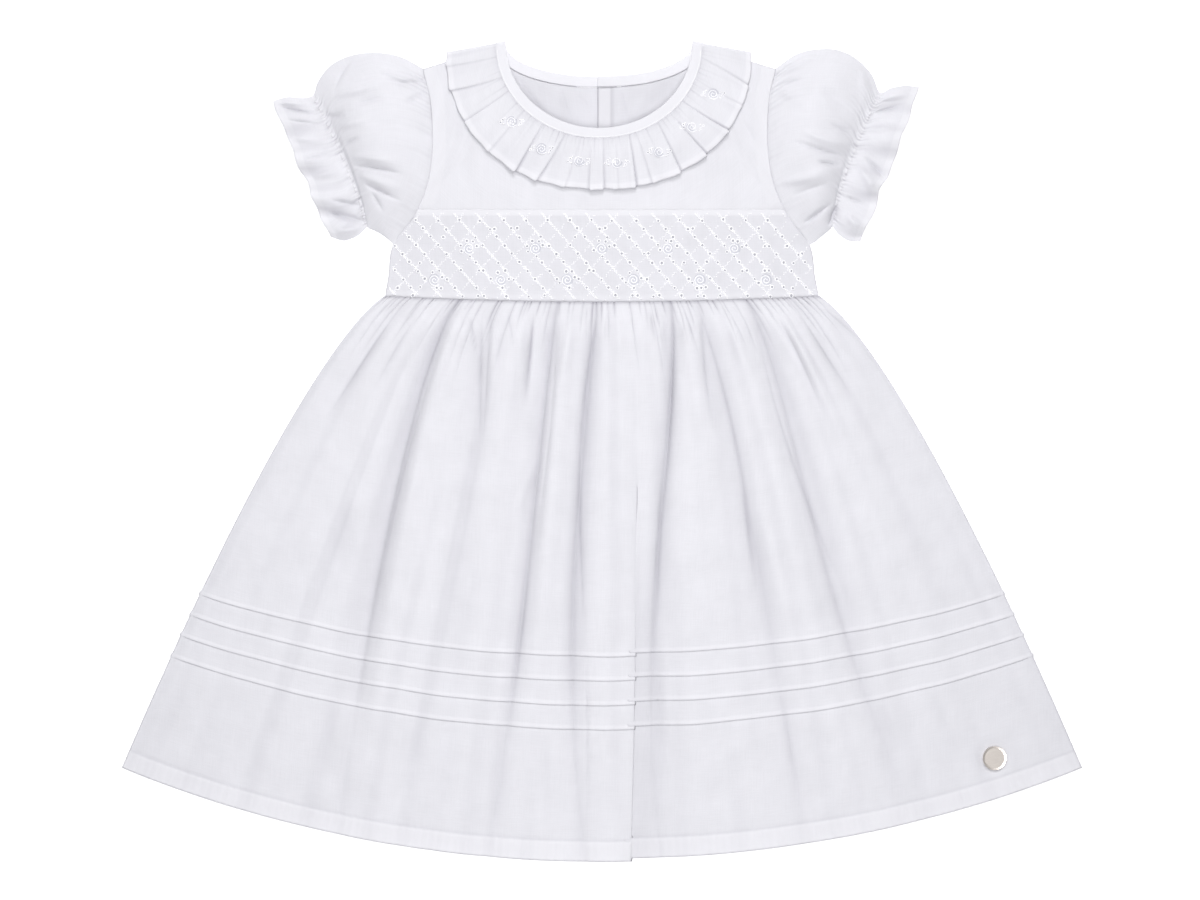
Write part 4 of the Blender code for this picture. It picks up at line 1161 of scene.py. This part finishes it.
# The height: the big folds, the gathers and creases on them, the tucks, the hem and the deep fold
flatter = 1 - 0.38 * ease((down - 0.50) / 0.40)
folds = FOLD_DEPTH * flatter * fold_height(across, down)
gathers, gather_shade = waist_gathers(across, down, 71, 0.0016)
folded, fold_shade = creases(x, y, SKIRT_CREASES, SKIRT_DEPTH)
streak = streaks(across, down, 76)
detail = folded + gathers + 0.00030 * streak
detail += 0.00035 * soft_wave(x, y, 0.040, 72) + 0.00012 * soft_wave(x, y, 0.011, 73)
turned_up, double = doubled(down)
puckers = 0.00022 * np.sin(across * 2 * math.pi * 62 + 3 * soft_wave(x, y, 0.05, 74))
detail += (puckers + 0.00030) * turned_up - 0.00035 * np.exp(-((down - HEM_LINE) / 0.0022) ** 2)
edge_calm = ease((1 - np.abs(across)) / 0.03)
bulge = mix(front_height(x, WAIST + 0 * x), LAYER + folds + 0.0012 * edge_calm, ease(down / 0.07))
stack = PLEAT_STACK * ease((down - 0.35) / 0.4)
overlap = np.exp(-np.maximum(pleat - across, 0) / 0.035) * (1 - layer)
height = bulge + (detail + tuck_lift(down)) * edge_calm + stack * overlap
height = height + np.where(layer > 0, mix(stack, 0.0, layer), 0.0)
low = LOWEST + 0.0004 * edge_calm
height = (height + low + np.sqrt((height - low) ** 2 + 0.0004 ** 2)) / 2
from_disc = np.hypot(x - DISC_PLACE[0], y - DISC_PLACE[1]) / DISC_HOLLOW
height = np.minimum(height, mix(UNDER_DISC, 0.0200, ease(from_disc - 0.5)))

# The outline: a slow wander of the tucks and a small notch where each meets the side seam
y = y + 0.0006 * soft_wave(x, y, 0.045, 75) * ease((down - 0.5) / 0.1) * ease((0.85 - down) / 0.05)
notch = 0.0007 * sum(ease(1 - np.abs(down - edge + 0.003) / 0.006) for edge in TUCKS)
x = x + np.sign(across) * notch * ease((np.abs(across) - 0.985) / 0.015)
points = np.stack([x, y, height], axis=-1)

# The shade: hollows, gathers and creases, the cloth right of the deep fold, the waist seam and the hem line
shade = 0.25 * hollows(folds + detail, 4, 0.0012) + 0.16 * hollows(folds, 22, 0.0032)
shade = gather_shade + (fold_shade + shade) * flatter ** 1.5 + 0.08 * np.maximum(-streak, 0)
shade += 0.13 * layer * np.exp(-(across - pleat) / 0.055) * ease((down - 0.35) / 0.3)
shade += 0.45 * np.exp(-down / 0.0016) + 0.30 * np.exp(-((down - HEM_LINE) / 0.0015) ** 2)
skirt_front = cloth_sheet("skirt_front", points, double, shade, thick=SKIRT_CLOTH)
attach(skirt_front, "root")
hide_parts("front_skirt")

# ------------------------------------------------------------------ back skirt
# Cut like the front skirt, with the same tucks and hem; laid flat, it carries the front on its upper side.
across, down = np.meshgrid(np.linspace(-1, 1, 120), rows)
x, y = skirt_place(across, down * 0.993)
edge_calm = ease((1 - np.abs(across)) / 0.04)
gathers, gather_shade = waist_gathers(across, down, 81, 0.0005)
lift = 0.6 * gathers + 0.0003 * (1 - tuck_lift(down) / TUCK_HIGH) + 0.0001 * soft_wave(x, y, 0.03, 82)
height = np.clip(lift * edge_calm * ease((1 - down) / 0.05), 0.0, 0.0005)
streak = streaks(across, down, 83)
# Painted shade: the gathers, the low side of the streaks, the waist seam and a line under each tuck's edge
shade = 0.5 * gather_shade + 0.10 * np.maximum(-streak, 0) + 0.45 * np.exp(-down / 0.0016)
shade += sum(0.40 * np.exp(-((down - edge - 0.002) / 0.0022) ** 2) for edge in TUCKS)
points = np.stack([x, y, height], axis=-1)
skirt_back = cloth_sheet("skirt_back", points, doubled(down)[1], shade, thick=SKIRT_CLOTH)
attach(skirt_back, "root")
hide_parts("back_skirt")

# ------------------------------------------------------------------ hem disc
# A small plain metal disc with a raised rim, stitched on near the right corner of the hem.
metal = Finish("brushed champagne metal")
brushing = metal.stretched(metal.add("ShaderNodeTexCoord", {}, {}, "Object"), (300, 4000, 300))
grain = metal.noise(Vector=brushing, Scale=1.0, Detail=3.0)
tone = metal.blend(grain, (0.78, 0.71, 0.65), (0.96, 0.90, 0.84))
brushed = {"Metallic": 1.0, "Normal": metal.relief(grain, 0.3, 0.00008)}
dress_node("hem_disc", metal.surface(metal.principled(tone, 0.34, brushed)))

# ------------------------------------------------------------------ floor, light and camera
# A white floor that glows a little, a long lamp over the middle of the dress, a window's light from beyond
# its neck and a white room. The camera looks straight down.
FLOOR_HALF, FLOOR_TOP = 3.0, -0.0005
floor_mesh = bpy.data.meshes.new("floor")
ends = ((-1, -1), (1, -1), (1, 1), (-1, 1))
corners = [(FLOOR_HALF * side, FLOOR_HALF * end, FLOOR_TOP) for side, end in ends]
floor_mesh.from_pydata(corners, [], [(0, 1, 2, 3)])
floor = bpy.data.objects.new("floor", floor_mesh)
bpy.context.scene.collection.objects.link(floor)
paper = Finish("white paper")
paper_tone = paper.blend(paper.noise(Scale=40.0), (0.93, 0.93, 0.93), (0.95, 0.95, 0.95))
glow = {"Emission Color": (1, 1, 1, 1), "Emission Strength": 0.55}
floor_mesh.materials.append(paper.surface(paper.principled(paper_tone, 0.9, glow)))

world = bpy.data.worlds.new("white room")
bpy.context.scene.world = world
world.use_nodes = True
room = world.node_tree.nodes["Background"].inputs
room["Color"].default_value = (0.97, 0.975, 1.0, 1.0)
room["Strength"].default_value = 0.385


def area_lamp(name, wide, long, energy, place, tilt):
    lamp = bpy.data.lights.new(name, "AREA")
    lamp.shape = "RECTANGLE"
    lamp.size = wide
    lamp.size_y = long
    lamp.energy = energy
    light = bpy.data.objects.new(name, lamp)
    light.location = place
    light.rotation_euler = (math.radians(tilt), 0, 0)
    bpy.context.scene.collection.objects.link(light)


area_lamp("soft light", 0.20, 1.40, 6.6, (0.0, 0.0, 0.85), 0.0)
area_lamp("window light", 0.7, 0.7, 29.0, (0.0, 2.2, 2.1), -46.0)

lens = bpy.data.cameras.new("overhead")
lens.lens = 130.0
lens.sensor_width = 36.0
lens.clip_end = 20.0
camera = bpy.data.objects.new("overhead", lens)
camera.location = (-0.0012, 0.0006, 2.606)
bpy.context.scene.collection.objects.link(camera)
bpy.context.scene.camera = camera
bpy.context.scene.view_settings.view_transform = "Standard"
